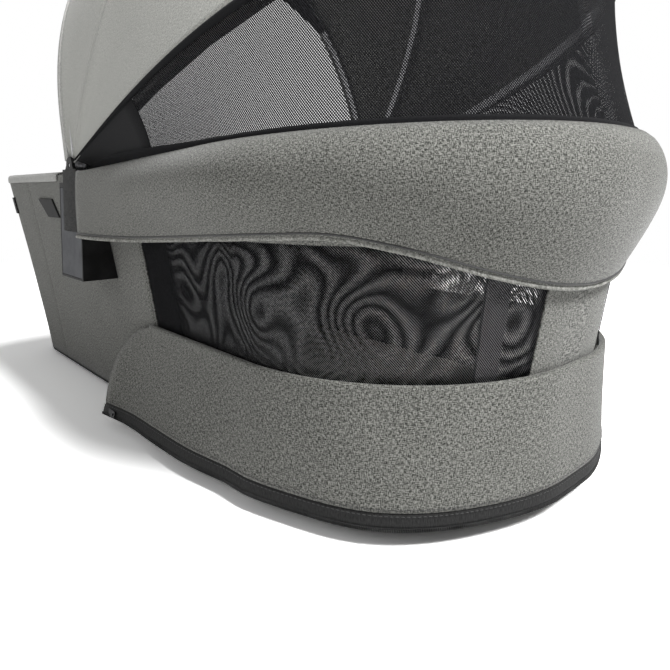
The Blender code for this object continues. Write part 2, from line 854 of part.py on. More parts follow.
def mattress_half_width(x, inset):
    """Half the width of the mattress at X, from the tub's outline at its middle height."""
    height = TRAY_FLOOR_HEIGHT + TRAY_THICKNESS
    foot_x, head_x, half_width, foot_radius, head_radius = wall_sizes(height)
    foot_x, head_x, half_width = foot_x + inset, head_x - inset, half_width - inset
    foot_radius, head_radius = foot_radius - inset, head_radius - inset
    from_foot = foot_radius - (x - foot_x)
    from_head = head_radius - (head_x - x)
    if from_foot > 0:
        return half_width - foot_radius + math.sqrt(max(foot_radius**2 - from_foot**2, 0))
    if from_head > 0:
        return half_width - head_radius + math.sqrt(max(head_radius**2 - from_head**2, 0))
    return half_width


def make_mattress():
    """A padded mattress: crowned, drawn in at its side seam, with sewn cross channels."""
    inset = LINER_INSET + LINER_THICKNESS + MATTRESS_CLEARANCE
    height = TRAY_FLOOR_HEIGHT + TRAY_THICKNESS
    foot_x, head_x, _, foot_radius, head_radius = wall_sizes(height)
    foot_x, head_x = foot_x + inset, head_x - inset
    channels = [
        blend(foot_x, head_x, (number + 1) / (MATTRESS_CHANNEL_COUNT + 1))
        for number in range(MATTRESS_CHANNEL_COUNT)
    ]
    stations = [foot_x + foot_radius * share for share in MATTRESS_END_SHARES]
    stations += [head_x - head_radius * share for share in MATTRESS_END_SHARES]
    for channel in channels:
        for share in MATTRESS_CHANNEL_SHARES:
            stations.append(channel + MATTRESS_CHANNEL_WIDTH / 2 * share)
    base = TRAY_FLOOR_HEIGHT + TRAY_THICKNESS + 2 * MESH_GAP
    rings = []
    for x in sorted(stations):
        half_width = mattress_half_width(x, inset)
        nearest = min(abs(x - channel) for channel in channels)
        dip = 1 - eased(nearest / (MATTRESS_CHANNEL_WIDTH / 2))
        end_fall = eased(min(x - foot_x, head_x - x) / foot_radius)
        ring = []
        for step in range(MATTRESS_SIDES):
            angle = 2 * math.pi * (step + 0.5) / MATTRESS_SIDES
            across, up = math.cos(angle), math.sin(angle)
            across = math.copysign(abs(across) ** (2 / MATTRESS_SIDE_POWER), across)
            up = math.copysign(abs(up) ** (2 / MATTRESS_SIDE_POWER), up)
            waist = 1 - MATTRESS_WAIST_SHARE * (1 - up * up)
            z = base + MATTRESS_THICKNESS * (1 + up) / 2
            if up > 0:
                crown = MATTRESS_CROWN * (1 - across * across) * end_fall
                z += up * (crown - MATTRESS_CHANNEL_DEPTH * dip)
            ring.append(Vector((x, half_width * across * waist, z)))
        rings.append(ring)
    loft("mattress", rings, "mattress_fabric")


# Mount blocks


def block_wall_y(height):
    return wall_half_width(height) + BLOCK_WALL_GAP


def lug_range(number):
    """Near and far |Y| of a lug: 0 is the rear bow's, 1 the mid bow's and 2 the front bow's."""
    inner_face = BLOCK_FACE_Y - CHEEK_THICKNESS - 3 * LUG_THICKNESS - 4 * LUG_GAP
    near = inner_face + LUG_GAP + number * (LUG_THICKNESS + LUG_GAP)
    return near, near + LUG_THICKNESS


def make_notch_cutters():
    """The cover opens here, so that the block's bridge can pass over the rim frame."""
    reach = CHEEK_HALF_LENGTH + NOTCH_GAP
    low_z = BLOCK_TOP_HEIGHT - NOTCH_GAP / 2
    for side in SIDES.values():
        box(
            "hinge notch " + str(side),
            (PIVOT_X - reach, min(0, side), low_z),
            (PIVOT_X + reach, max(0, side), RIM_HEIGHT + CUT_OVERRUN),
        )


def make_mount_block(name, side):
    """The moulded block under the hinge: adapter socket, plate pocket and hinge cheeks."""
    tube_top = RIM_HEIGHT - RIM_TUBE_DROP + RIM_TUBE_RADIUS + 2 * MESH_GAP
    bridge_top = tube_top + BRIDGE_THICKNESS
    cheek_top = PIVOT_HEIGHT + CHEEK_RADIUS
    outer_cheek = BLOCK_FACE_Y - CHEEK_THICKNESS
    inner_cheek = lug_range(0)[0] - LUG_GAP
    middle_height = blend(BLOCK_BASE_HEIGHT, BLOCK_TOP_HEIGHT, 0.5)
    body_outline = [
        (BLOCK_FACE_Y, BLOCK_BASE_HEIGHT),
        (BLOCK_FACE_Y, BLOCK_TOP_HEIGHT),
        (block_wall_y(BLOCK_TOP_HEIGHT), BLOCK_TOP_HEIGHT),
        (block_wall_y(middle_height) + BLOCK_WALL_GAP, middle_height),
        (block_wall_y(BLOCK_BASE_HEIGHT), BLOCK_BASE_HEIGHT),
    ]
    length = BLOCK_HEAD_X - BLOCK_FOOT_X
    middle = (BLOCK_HEAD_X + BLOCK_FOOT_X) / 2
    outward = Vector((0, side, 0))
    body = outline_solid(
        "mount_block_" + name,
        [body_outline],
        length,
        plane((middle, 0, 0), outward, Z_AXIS),
        "black_plastic",
    )
    yoke_outline = [
        (BLOCK_FACE_Y, BLOCK_TOP_HEIGHT - CUT_OVERRUN),
        (BLOCK_FACE_Y, cheek_top),
        (outer_cheek, cheek_top),
        (outer_cheek, bridge_top),
        (inner_cheek, bridge_top),
        (inner_cheek, cheek_top),
        (inner_cheek - CHEEK_THICKNESS, cheek_top),
        (inner_cheek - CHEEK_THICKNESS, tube_top),
        (block_wall_y(BLOCK_TOP_HEIGHT), tube_top),
        (block_wall_y(BLOCK_TOP_HEIGHT), BLOCK_TOP_HEIGHT - CUT_OVERRUN),
    ]
    yoke = outline_solid(
        "yoke " + name,
        [yoke_outline],
        2 * CHEEK_HALF_LENGTH,
        plane((PIVOT_X, 0, 0), outward, Z_AXIS),
        "black_plastic",
        "cutters",
    )
    combine(body, yoke, "UNION")
    half = CHEEK_HALF_LENGTH + CUT_OVERRUN
    over = [(-half, bridge_top - PIVOT_HEIGHT), (-CHEEK_HALF_LENGTH, bridge_top - PIVOT_HEIGHT)]
    over += arc((0, 0), CHEEK_RADIUS, math.pi, 0, 12)
    over += [(CHEEK_HALF_LENGTH, bridge_top - PIVOT_HEIGHT), (half, bridge_top - PIVOT_HEIGHT)]
    over += [(half, CHEEK_RADIUS + CUT_OVERRUN), (-half, CHEEK_RADIUS + CUT_OVERRUN)]
    crown = outline_solid(
        "cheek crown " + name,
        [over],
        RIM_HALF_WIDTH,
        plane((PIVOT_X, side * RIM_HALF_WIDTH, PIVOT_HEIGHT), X_AXIS, Z_AXIS),
        "black_plastic",
        "cutters",
    )
    combine(body, crown, "DIFFERENCE")
    pocket_floor = BLOCK_FACE_Y - PLATE_THICKNESS - PLATE_TRAVEL
    pocket = box(
        "plate pocket " + name,
        (BLOCK_FOOT_X + PLATE_RIM, pocket_floor, BLOCK_BASE_HEIGHT + PLATE_RIM),
        (BLOCK_HEAD_X - PLATE_RIM, BLOCK_FACE_Y + CUT_OVERRUN, PLATE_TOP_HEIGHT + MESH_GAP),
    )
    socket_far = pocket_floor - SOCKET_FACE_WALL
    socket = box(
        "adapter socket " + name,
        (middle - SOCKET_LENGTH / 2, socket_far - SOCKET_WIDTH, BLOCK_BASE_HEIGHT - CUT_OVERRUN),
        (middle + SOCKET_LENGTH / 2, socket_far, BLOCK_BASE_HEIGHT + SOCKET_DEPTH),
    )
    latch_middle = socket_far - SOCKET_WIDTH / 2
    channel = box(
        "latch channel " + name,
        (
            BLOCK_FOOT_X + PLATE_RIM,
            latch_middle - LATCH_WIDTH / 2 - MESH_GAP,
            LATCH_BASE_HEIGHT - MESH_GAP,
        ),
        (
            middle - SOCKET_LENGTH / 2 + CUT_OVERRUN,
            latch_middle + LATCH_WIDTH / 2 + MESH_GAP,
            LATCH_BASE_HEIGHT + LATCH_HEIGHT + MESH_GAP,
        ),
    )
    bore = cylinder(
        "pin bore " + name,
        (PIVOT_X, inner_cheek - CHEEK_THICKNESS - CUT_OVERRUN, PIVOT_HEIGHT),
        (PIVOT_X, BLOCK_FACE_Y + CUT_OVERRUN, PIVOT_HEIGHT),
        PIN_RADIUS + MESH_GAP,
    )
    for cutter in (pocket, socket, channel, bore):
        if side == LEFT:
            mirror_in_place(cutter)
        combine(body, cutter, "DIFFERENCE")


def mirror_in_place(made):
    """Moves a mesh drawn on the right to its mirror image on the left."""
    build = bmesh.new()
    build.from_mesh(made.data)
    build.transform(Matrix.Diagonal((1, -1, 1, 1)))
    bmesh.ops.reverse_faces(build, faces=build.faces)
    build.to_mesh(made.data)
    build.free()


def make_release_plate(name, side):
    """A push plate with a stiffening boss. It slides inwards to free the latch."""
    gap = MESH_GAP
    foot = BLOCK_FOOT_X + PLATE_RIM + gap
    head = BLOCK_HEAD_X - PLATE_RIM - gap
    base = BLOCK_BASE_HEIGHT + PLATE_RIM + gap
    middle = Vector((0, side * (BLOCK_FACE_Y - PLATE_THICKNESS / 2), 0))
    outline = [(foot, base), (head, base), (head, PLATE_TOP_HEIGHT), (foot, PLATE_TOP_HEIGHT)]
    plate = outline_solid(
        "release_plate_" + name,
        [outline],
        PLATE_THICKNESS,
        plane(middle, X_AXIS, Z_AXIS),
        "grey_plastic",
    )
    add_bevel(plate, SOFT_EDGE / 2, 2)


def make_latch(name, side):
    """A spring latch whose wedge nose stands in the adapter socket."""
    middle_x = (BLOCK_HEAD_X + BLOCK_FOOT_X) / 2
    socket_far = BLOCK_FACE_Y - PLATE_THICKNESS - PLATE_TRAVEL - SOCKET_FACE_WALL
    middle_y = socket_far - SOCKET_WIDTH / 2
    nose = middle_x - SOCKET_LENGTH / 2 + LATCH_NOSE
    outline = [
        (nose - LATCH_LENGTH, LATCH_BASE_HEIGHT),
        (nose - LATCH_NOSE, LATCH_BASE_HEIGHT),
        (nose, LATCH_BASE_HEIGHT + LATCH_HEIGHT - LATCH_NOSE),
        (nose, LATCH_BASE_HEIGHT + LATCH_HEIGHT),
        (nose - LATCH_LENGTH, LATCH_BASE_HEIGHT + LATCH_HEIGHT),
    ]
    outline_solid(
        "latch_" + name,
        [outline],
        LATCH_WIDTH,
        plane((0, side * middle_y, 0), X_AXIS, Z_AXIS),
        "black_plastic",
    )


def make_hinge_pin(name, side):
    """A shouldered pin, turned from a profile and laid along Y."""
    head_y = lug_range(0)[0] - LUG_GAP - CHEEK_THICKNESS - MESH_GAP
    length = BLOCK_FACE_Y - FINE_EDGE - head_y
    profile = (
        (0, length),
        (PIN_RADIUS - FINE_EDGE, length),
        (PIN_RADIUS, length - FINE_EDGE),
        (PIN_RADIUS, 0),
        (PIN_HEAD_RADIUS, 0),
        (PIN_HEAD_RADIUS, -PIN_HEAD_THICKNESS),
        (0, -PIN_HEAD_THICKNESS),
    )
    build = bmesh.new()
    verts = [build.verts.new((radius, 0, height)) for radius, height in profile]
    for start, end in zip(verts, verts[1:]):
        build.edges.new((start, end))
    mesh = bpy.data.meshes.new("hinge_pin_" + name)
    build.to_mesh(mesh)
    build.free()
    pin = add_object("hinge_pin_" + name, mesh, "frame_metal")
    turn = pin.modifiers.new("Turn", "SCREW")
    turn.steps = turn.render_steps = 20
    turn.use_merge_vertices = True
    turn.merge_threshold = MERGE_DISTANCE
    pin.location = (PIVOT_X, side * head_y, PIVOT_HEIGHT)
    pin.rotation_euler = (-side * math.pi / 2, 0, 0)


# Hood bows and skins


def hood_sizes(angle):
    reach = smooth_value([(a, r) for a, r, _ in HOOD_STATIONS], angle)
    power = smooth_value([(a, p) for a, _, p in HOOD_STATIONS], angle)
    return reach, power


def arch_plan(half_width, reach, power, turn):
    """A point (across, out) of a superellipse arch, at a turn from 0 to pi."""
    across, out = math.cos(turn), math.sin(turn)
    size = (abs(across) ** power + abs(out) ** power) ** (-1 / power)
    return half_width * size * across, reach * size * out


def at_pivot(across, out, angle):
    """A point at an arch's place across the tub and distance out from the pivot."""
    return Vector(
        (PIVOT_X + out * math.cos(angle), -across, PIVOT_HEIGHT + out * math.sin(angle))
    )


def arch_line(half_width, reach, power, start, steps):
    """Points (across, out) of an arch with straight legs, from the left foot to the right."""
    points = [(half_width, start)]
    for step in range(steps + 1):
        across, out = arch_plan(half_width, reach - BOW_LEG, power, math.pi * step / steps)
        points.append((across, BOW_LEG + out))
    return points + [(-half_width, start)]


def hood_plan(angle, outset=0.0, start=HOOD_SKIN_START):
    """Points (across, out) of the skin's arch at a bow angle."""
    reach, power = hood_sizes(angle)
    return arch_line(HOOD_HALF_WIDTH + outset, reach + outset, power, start, HOOD_TURNS)


def hood_line(angle, outset=0.0, ahead=0.0, start=HOOD_SKIN_START):
    """The skin's arch at a bow angle, moved ahead, square to its own plane."""
    plan = hood_plan(angle, outset, start)
    shift = ahead * Vector((-math.sin(angle), 0, math.cos(angle)))
    return [at_pivot(across, out, angle) + shift for across, out in plan]


def bow_line(number, angle, inner=0.0):
    """Points (across, out) of a bow's outside, or of a line some way inside it."""
    _, outer = lug_range(number)
    reach, power = hood_sizes(angle)
    return arch_line(outer - inner, reach - BOW_INSET - inner, power, 0.0, HOOD_TURNS)


def make_bow(name, number, angle):
    """A flat strip bent to an arch, with a drilled lug at each foot."""
    outside = bow_line(number, angle)
    inside = bow_line(number, angle, LUG_THICKNESS)
    direction = Vector((math.cos(angle), 0, math.sin(angle)))
    strip = outline_solid(
        name, [outside + inside[::-1]], BOW_WIDTH, plane(PIVOT, -Y_AXIS, direction), "frame_metal"
    )
    for label, side in SIDES.items():
        near, far = lug_range(number)
        eye = cylinder(
            name + " lug " + label,
            (PIVOT_X, side * near, PIVOT_HEIGHT),
            (PIVOT_X, side * far, PIVOT_HEIGHT),
            LUG_RADIUS,
        )
        combine(strip, eye, "UNION")
    bore = cylinder(
        name + " bore",
        (PIVOT_X, -BLOCK_FACE_Y, PIVOT_HEIGHT),
        (PIVOT_X, BLOCK_FACE_Y, PIVOT_HEIGHT),
        PIN_RADIUS + MESH_GAP,
    )
    combine(strip, bore, "DIFFERENCE")
    put_origin(strip, PIVOT)


def make_hood_panel(name, start, end, ahead_end, material_name):
    """Fabric stretched from one bow's plane to another's."""
    rows = [hood_line(start, 0.0, SKIN_SEAM_GAP / 2)]
    for step in range(1, HOOD_ROWS):
        rows.append(hood_line(blend(start, end, step / HOOD_ROWS)))
    rows.append(hood_line(end, 0.0, -SKIN_SEAM_GAP / 2))
    if ahead_end > 0:
        rows.append(hood_line(end, 0.0, ahead_end))
    put_origin(sheet(name, rows, HOOD_SKIN_THICKNESS, material_name, PIVOT), PIVOT)


def halved(points):
    """The points with one more in the middle of each step."""
    found = [points[0]]
    for start, end in zip(points, points[1:]):
        found += [start.lerp(end, 0.5), end]
    return found


def length_shares(points):
    """How far along the whole line each of its points lies."""
    lengths = [0.0]
    for start, end in zip(points, points[1:]):
        lengths.append(lengths[-1] + (end - start).length)
    return [length / lengths[-1] for length in lengths]


def points_at(points, shares):
    """Points at shares of the length along a line of points."""
    places = length_shares(points)
    found = []
    for share in shares:
        index = max(i for i in range(len(points) - 1) if places[i] <= share + FLAT_SHARE)
        local = (share - places[index]) / (places[index + 1] - places[index])
        found.append(points[index].lerp(points[index + 1], local))
    return found


def rear_seam(lift=0.0):
    """The line where the rear mesh meets the rim, from the left hinge to the right."""
    places = head_track(side_column(GUSSET_FOOT_X))
    line = []
    for place in places:
        rim = rim_height(place[1])
        line.append(wall_point(place, rim, -RIM_ROLL_RADIUS) + Vector((0, 0, SEAM_GAP + lift)))
    return line


def offset_rows(rows, distance, inside):
    """The rows moved outwards along the surface's own normals."""
    made = []
    last_row, last = len(rows) - 1, len(rows[0]) - 1
    for r, row in enumerate(rows):
        line = []
        for c, point in enumerate(row):
            up = rows[min(r + 1, last_row)][c] - rows[max(r - 1, 0)][c]
            along = row[min(c + 1, last)] - row[max(c - 1, 0)]
            normal = up.cross(along).normalized()
            if normal.dot(point - inside) < 0:
                normal.negate()
            line.append(point + normal * distance)
        made.append(line)
    return made


def rear_point(low, high, share):
    """A point of the rear skin, which bulges a little between its seam and the bow."""
    point = low.lerp(high, share)
    away = (point - HOOD_CENTRE).normalized()
    return point + away * 4 * HOOD_MESH_BULGE * share * (1 - share)


def rear_rows(shares):
    """Rows of the rear section, at shares of the way from the rim seam to the rear bow."""
    arch = halved(hood_line(REAR_BOW_ANGLE, 0.0, -SKIN_SEAM_GAP / 2, REAR_SKIN_START))
    seam = points_at(rear_seam(), length_shares(arch))
    return [[rear_point(low, high, share) for low, high in zip(seam, arch)] for share in shares]


def gusset_columns(seam):
    """The last column of the left gusset along the rim seam."""
    inside = [i for i, point in enumerate(seam) if point.x < GUSSET_HEAD_X and point.y < 0]
    return inside[-1]


def make_rear_section():
    rows = rear_rows([step / REAR_SKIN_ROWS for step in range(REAR_SKIN_ROWS + 1)])
    edge = gusset_columns(rows[0])
    last = len(rows[0]) - 1
    mesh_rows = [row[edge : last - edge + 1] for row in rows]
    sheet("hood_mesh", mesh_rows, MESH_THICKNESS, "black_mesh", HOOD_CENTRE)
    for name, first, final in (("left", 0, edge), ("right", last - edge, last)):
        gusset = [row[first : final + 1] for row in rows]
        end, other = (-1, -2) if name == "left" else (0, 1)
        for row in gusset:
            row[end] = row[end].lerp(row[other], SEAM_GAP / (row[end] - row[other]).length)
        sheet(
            "hood_gusset_" + name, gusset, MESH_THICKNESS, "black_fabric", HOOD_CENTRE
        )
    lift = BAND_THICKNESS + MESH_GAP
    seam_rows = rear_rows((MESH_THICKNESS / REAR_SKIN_DEPTH, SEAM_BAND_WIDTH / REAR_SKIN_DEPTH))
    seam_rows = offset_rows(seam_rows, lift, HOOD_CENTRE)
    sheet("hood_seam_band", seam_rows, BAND_THICKNESS, "black_fabric", HOOD_CENTRE)


def make_bow_band():
    """The black binding over the rear bow, outside the skins on each side of it."""
    lift = BAND_THICKNESS + 3 * MESH_GAP
    half = BAND_WIDTH / 2
    rows = rear_rows((1 - half / REAR_SKIN_DEPTH, 1.0))
    angle = REAR_BOW_ANGLE + half / HOOD_REAR_REACH
    rows.append(halved(hood_line(angle, 0.0, 0.0, REAR_SKIN_START)))
    rows = offset_rows(rows, lift, HOOD_CENTRE)
    sheet("rear_bow_band", rows, BAND_THICKNESS, "black_fabric", HOOD_CENTRE)


def make_front_piping():
    """The corded edge in front of the front bow."""
    ahead = BOW_WIDTH / 2 + PIPING_RADIUS + 2 * MESH_GAP
    points = hood_line(FRONT_BOW_ANGLE, -PIPING_RADIUS, ahead)
    put_origin(tube("front_piping", points, PIPING_RADIUS, "light_fabric"), PIVOT)


def make_visor():
    """A crescent sun visor that slides out from under the front bow."""
    inset = BOW_INSET + LUG_THICKNESS + 3 * MESH_GAP
    reach, power = hood_sizes(FRONT_BOW_ANGLE)
    rows = []
    for row in range(VISOR_ROWS + 1):
        line = []
        for step in range(HOOD_TURNS + 1):
            share = blend(VISOR_START_SHARE, 1 - VISOR_START_SHARE, step / HOOD_TURNS)
            across, out = arch_plan(
                HOOD_HALF_WIDTH - inset, reach - inset - BOW_LEG, power, math.pi * share
            )
            crescent = math.sin(math.pi * step / HOOD_TURNS) ** VISOR_CRESCENT_POWER
            depth = blend(BOW_WIDTH, VISOR_REACH, crescent)
            angle = FRONT_BOW_ANGLE + (row / VISOR_ROWS * depth - BOW_WIDTH / 2) / HOOD_FRONT_REACH
            line.append(at_pivot(across, BOW_LEG + out, angle))
        rows.append(line)
    put_origin(sheet("visor", rows, VISOR_THICKNESS, "black_fabric", PIVOT), PIVOT)


# Carry handle


def out_at(line, across):
    """How far out a line of points (across, out) lies at a place across the tub."""
    for (near, low), (far, high) in zip(line, line[1:]):
        if far <= across < near:
            return blend(low, high, (near - across) / (near - far))
    raise ValueError("no point of the line lies there")


def make_handle_tab(name, side, end):
    """A thin tab from a handle's end, through the seam between two panels, to the mid bow."""
    bow = bow_line(1, MID_BOW_ANGLE)
    skin = [(across, out + HANDLE_RADIUS) for across, out in hood_plan(MID_BOW_ANGLE)]
    places = [
        blend(end - TAB_LENGTH, end, step / TAB_STEPS) for step in range(TAB_STEPS + 1)
    ]
    lower = [(-side * across, out_at(bow, across) + 2 * MESH_GAP) for across in places]
    upper = [(-side * across, out_at(skin, across)) for across in places]
    turn = plane(PIVOT, -Y_AXIS, Vector((math.cos(MID_BOW_ANGLE), 0, math.sin(MID_BOW_ANGLE))))
    return outline_solid(
        "handle tab " + name,
        [lower + upper[::-1]],
        SKIN_SEAM_GAP - 4 * MESH_GAP,
        turn,
        "black_plastic",
        "cutters",
    )


def make_handle():
    """A bar over the top of the mid bow, with a sewn grip sleeve on it."""
    reach, power = hood_sizes(MID_BOW_ANGLE)
    points = []
    for step in range(HANDLE_STEPS + 1):
        share = 2 * step / HANDLE_STEPS - 1
        turn = math.pi / 2 + share * HANDLE_HALF_TURN
        across, out = arch_plan(HOOD_HALF_WIDTH, reach - BOW_LEG, power, turn)
        rise = HANDLE_RISE * (1 - abs(share) ** HANDLE_RISE_POWER)
        lift = BOW_LEG + HANDLE_RADIUS + MESH_GAP * 2 + rise
        points.append(at_pivot(across, out + lift, MID_BOW_ANGLE))
    handle = tube("carry_handle", points, HANDLE_RADIUS, "black_plastic")
    for name, side in SIDES.items():
        combine(handle, make_handle_tab(name, side, abs(points[0].y)), "UNION")
    put_origin(handle, PIVOT)
    middle = [point for point in points if abs(point.y) <= GRIP_HALF_LENGTH]
    sleeve = tube("handle_grip", middle, HANDLE_RADIUS + GRIP_THICKNESS, "leatherette")
    bore = tube(
        "grip bore", points, HANDLE_RADIUS + MESH_GAP, "black_plastic", collection="cutters"
    )
    combine(sleeve, bore, "DIFFERENCE")
    put_origin(sleeve, PIVOT)


# Valance


def valance_settled(column):
    """0 where the valance lies on the block and 1 where it hangs freely."""
    x = wall_plan(column, RIM_HEIGHT).x
    return eased((x - VALANCE_FREE_X) / (VALANCE_SETTLED_X - VALANCE_FREE_X))


def valance_hem_height(column):
    corner = [HEAD_CORNER + share for share in VALANCE_HEM_PLACE_SHARES]
    columns = [
        side_column(VALANCE_FOOT_X),
        side_column(VALANCE_SETTLED_X),
        float(HEAD_RUN),
        float(HEAD_CORNER),
        *corner,
        float(HEAD_END),
        HEAD_MIDDLE,
    ]
    stations = list(zip(columns, VALANCE_HEM_SHARES))
    stations.append((2 * HEAD_MIDDLE - stations[-2][0], stations[-2][1]))
    share = smooth_value(stations, column)
    return blend(VALANCE_HEM_LOW, VALANCE_HEM_HIGH, share)


def valance_point(place, share, outset=0.0):
    """A point of the valance's outer face, at a share of the way from seam to hem."""
    column = place[1]
    height = blend(rim_height(column) - VALANCE_SEAM_DROP, valance_hem_height(column), share)
    settled = valance_settled(column)
    on_block = BLOCK_FACE_Y + SEAM_GAP - wall_half_width(height)
    hanging = blend(VALANCE_SEAM_GAP, VALANCE_HEM_GAP, share)
    bulge = blend(VALANCE_END_BULGE, VALANCE_BULGE, settled)
    swell = bulge * math.sin(math.pi * share**VALANCE_PEAK_POWER)
    reach = blend(on_block, hanging, settled) + swell + VALANCE_THICKNESS + outset
    return wall_point(place, height, reach)


def make_valance():
    places = head_track(side_column(VALANCE_FOOT_X), [side_column(VALANCE_FREE_X)])
    rows = [
        [valance_point(place, row / VALANCE_ROWS) for place in places]
        for row in range(VALANCE_ROWS + 1)
    ]
    sheet("valance", rows, VALANCE_THICKNESS, "melange_fabric")


def make_end_strips():
    """Black strips that close the valance's ends over the mount blocks."""
    for name, side in SIDES.items():
        foot = STRIP_FOOT_X
        head = VALANCE_FOOT_X - SEAM_GAP
        low, high = STRIP_BASE_HEIGHT, STRIP_TOP_HEIGHT
        outline = [(foot, low), (head, low), (head, high), (foot, high)]
        y = side * (BLOCK_FACE_Y + MESH_GAP + STRIP_THICKNESS / 2)
        strip = outline_solid(
            "valance_strip_" + name,
            [outline],
            STRIP_THICKNESS,
            plane((0, y, 0), X_AXIS, Z_AXIS),
            "black_fabric",
        )
        add_bevel(strip, FINE_EDGE)


# Vent flap with its zip


def flap_turned(column):
    """0 on the flap's sides and 1 at its head end."""
    start = side_column(FLAP_TURN_X)
    return eased((column - start) / (HEAD_CORNER - start))


def flap_drop(column):
    """How far the flap hangs from its fold to its edge."""
    edge = blend(FLAP_SIDE_EDGE_HEIGHT, FLAP_HEAD_EDGE_HEIGHT, flap_turned(column))
    return FLAP_FOLD_HEIGHT - edge


def flap_place(place, share):
    """The flap's ends are round: they reach further towards the foot lower down."""
    side, column = place
    top = side_column(FLAP_TOP_X)
    edge = side_column(FLAP_EDGE_X)
    drawn = (edge - top) * math.sin(math.pi / 2 * limited(share))
    fade = limited((HEAD_RUN - column) / (HEAD_RUN - top))
    return side, column + drawn * fade


def flap_point(place, share, outset=0.0):
    """A point of the flap's outer face, at a share of the way from its fold to its edge."""
    side, column = flap_place(place, share)
    height = FLAP_FOLD_HEIGHT - share * flap_drop(column)
    flare = blend(FLAP_SIDE_FLARE, FLAP_HEAD_FLARE, flap_turned(column)) * share**FLAP_FLARE_POWER
    return wall_point((side, column), height, FLAP_ROLL + FLAP_THICKNESS + flare + outset)


def make_flap():
    places = head_track(side_column(FLAP_TOP_X), [HEAD_CORNER + WINDOW_PANEL_SHARE])
    width = FLAP_ROLL + FLAP_THICKNESS
    fold = (
        (FLAP_FOLD_HEIGHT - FLAP_SEWN_DEPTH, MESH_GAP),
        (FLAP_FOLD_HEIGHT, MESH_GAP),
        (FLAP_FOLD_HEIGHT + width / 2, width / 4),
        (FLAP_FOLD_HEIGHT + width / 2, 3 * width / 4),
    )
    rows = [[wall_point(place, height, outset) for place in places] for height, outset in fold]
    rows += [
        [flap_point(place, row / FLAP_ROWS) for place in places] for row in range(FLAP_ROWS + 1)
    ]
    sheet("vent_flap", rows, FLAP_THICKNESS, "melange_fabric")


def edge_strip_rows(near, far, outset):
    """Two rows beyond the flap's edge, at distances from it along its slope."""
    places = head_track(side_column(FLAP_TOP_X))
    return [
        [flap_point(place, 1 + distance / flap_drop(place[1]), outset) for place in places]
        for distance in (near, far)
    ]


def make_zip():
    middle = FLAP_THICKNESS / 2
    tape_start = SEAM_GAP
    sheet(
        "zip_tape",
        edge_strip_rows(tape_start, tape_start + TAPE_WIDTH, TAPE_THICKNESS / 2 - middle),
        TAPE_THICKNESS,
        "black_fabric",
    )
    chain_start = tape_start + TAPE_WIDTH + SEAM_GAP
    sheet(
        "zip_chain",
        edge_strip_rows(chain_start, chain_start + CHAIN_WIDTH, CHAIN_THICKNESS / 2 - middle),
        CHAIN_THICKNESS,
        "black_plastic",
    )


def zip_end_frame():
    """Where the chain ends on the left: its end point and the directions along it,
    down across it and out of it."""
    start = (LEFT, side_column(FLAP_TOP_X))
    share = 1 + (SEAM_GAP * 2 + TAPE_WIDTH + CHAIN_WIDTH / 2) / flap_drop(start[1])
    end = flap_point(start, share, -FLAP_THICKNESS / 2)
    above = flap_point(start, 1.0, -FLAP_THICKNESS / 2)
    above.x = end.x
    down = (end - above).normalized()
    return end, X_AXIS, down, down.cross(X_AXIS)


def make_slider():
    """A zip slider: two plates on a wedge post, with ears and a cross pin for the puller."""
    end, along, down, out = zip_end_frame()
    half = SLIDER_LENGTH / 2
    centre = end - along * (SLIDER_LENGTH * SLIDER_AHEAD_SHARE)
    wide = SLIDER_WIDTH / 2
    outline = [(u * half, v * wide) for u, v in SLIDER_SHARES]
    outline += [(u, -v) for u, v in outline[::-1]]
    spread = (SLIDER_MOUTH + SLIDER_PLATE) / 2
    body = outline_solid(
        "zip_slider",
        [outline],
        SLIDER_PLATE,
        plane(centre + out * spread, along, down),
        "zip_metal",
    )
    back = outline_solid(
        "slider back",
        [outline],
        SLIDER_PLATE,
        plane(centre - out * spread, along, down),
        "zip_metal",
        "cutters",
    )
    post = [(u * half, v * wide) for u, v in SLIDER_POST_SHARES]
    wedge = outline_solid(
        "slider post",
        [post],
        SLIDER_MOUTH + SLIDER_PLATE,
        plane(centre, along, down),
        "zip_metal",
        "cutters",
    )
    face = centre + out * (spread + SLIDER_PLATE / 2)
    pin = face + out * EAR_RISE
    pieces = [back, wedge]
    ear_foot = -EAR_RISE - SLIDER_PLATE / 2
    ear_outline = [(-EAR_RADIUS, ear_foot), (EAR_RADIUS, ear_foot)]
    ear_outline += arc((0, 0), EAR_RADIUS, 0, math.pi, 8)
    reach = PULLER_NECK / 2 + MESH_GAP + EAR_THICKNESS / 2
    for sign in (-1, 1):
        pieces.append(
            outline_solid(
                "slider ear " + str(sign),
                [ear_outline],
                EAR_THICKNESS,
                plane(pin + down * reach * sign, along, out),
                "zip_metal",
                "cutters",
            )
        )
    span = down * (reach + EAR_THICKNESS / 4)
    pieces.append(cylinder("slider pin", pin - span, pin + span, BAIL_RADIUS, sides=12))
    for piece in pieces:
        combine(body, piece, "UNION")
    return pin, along, down


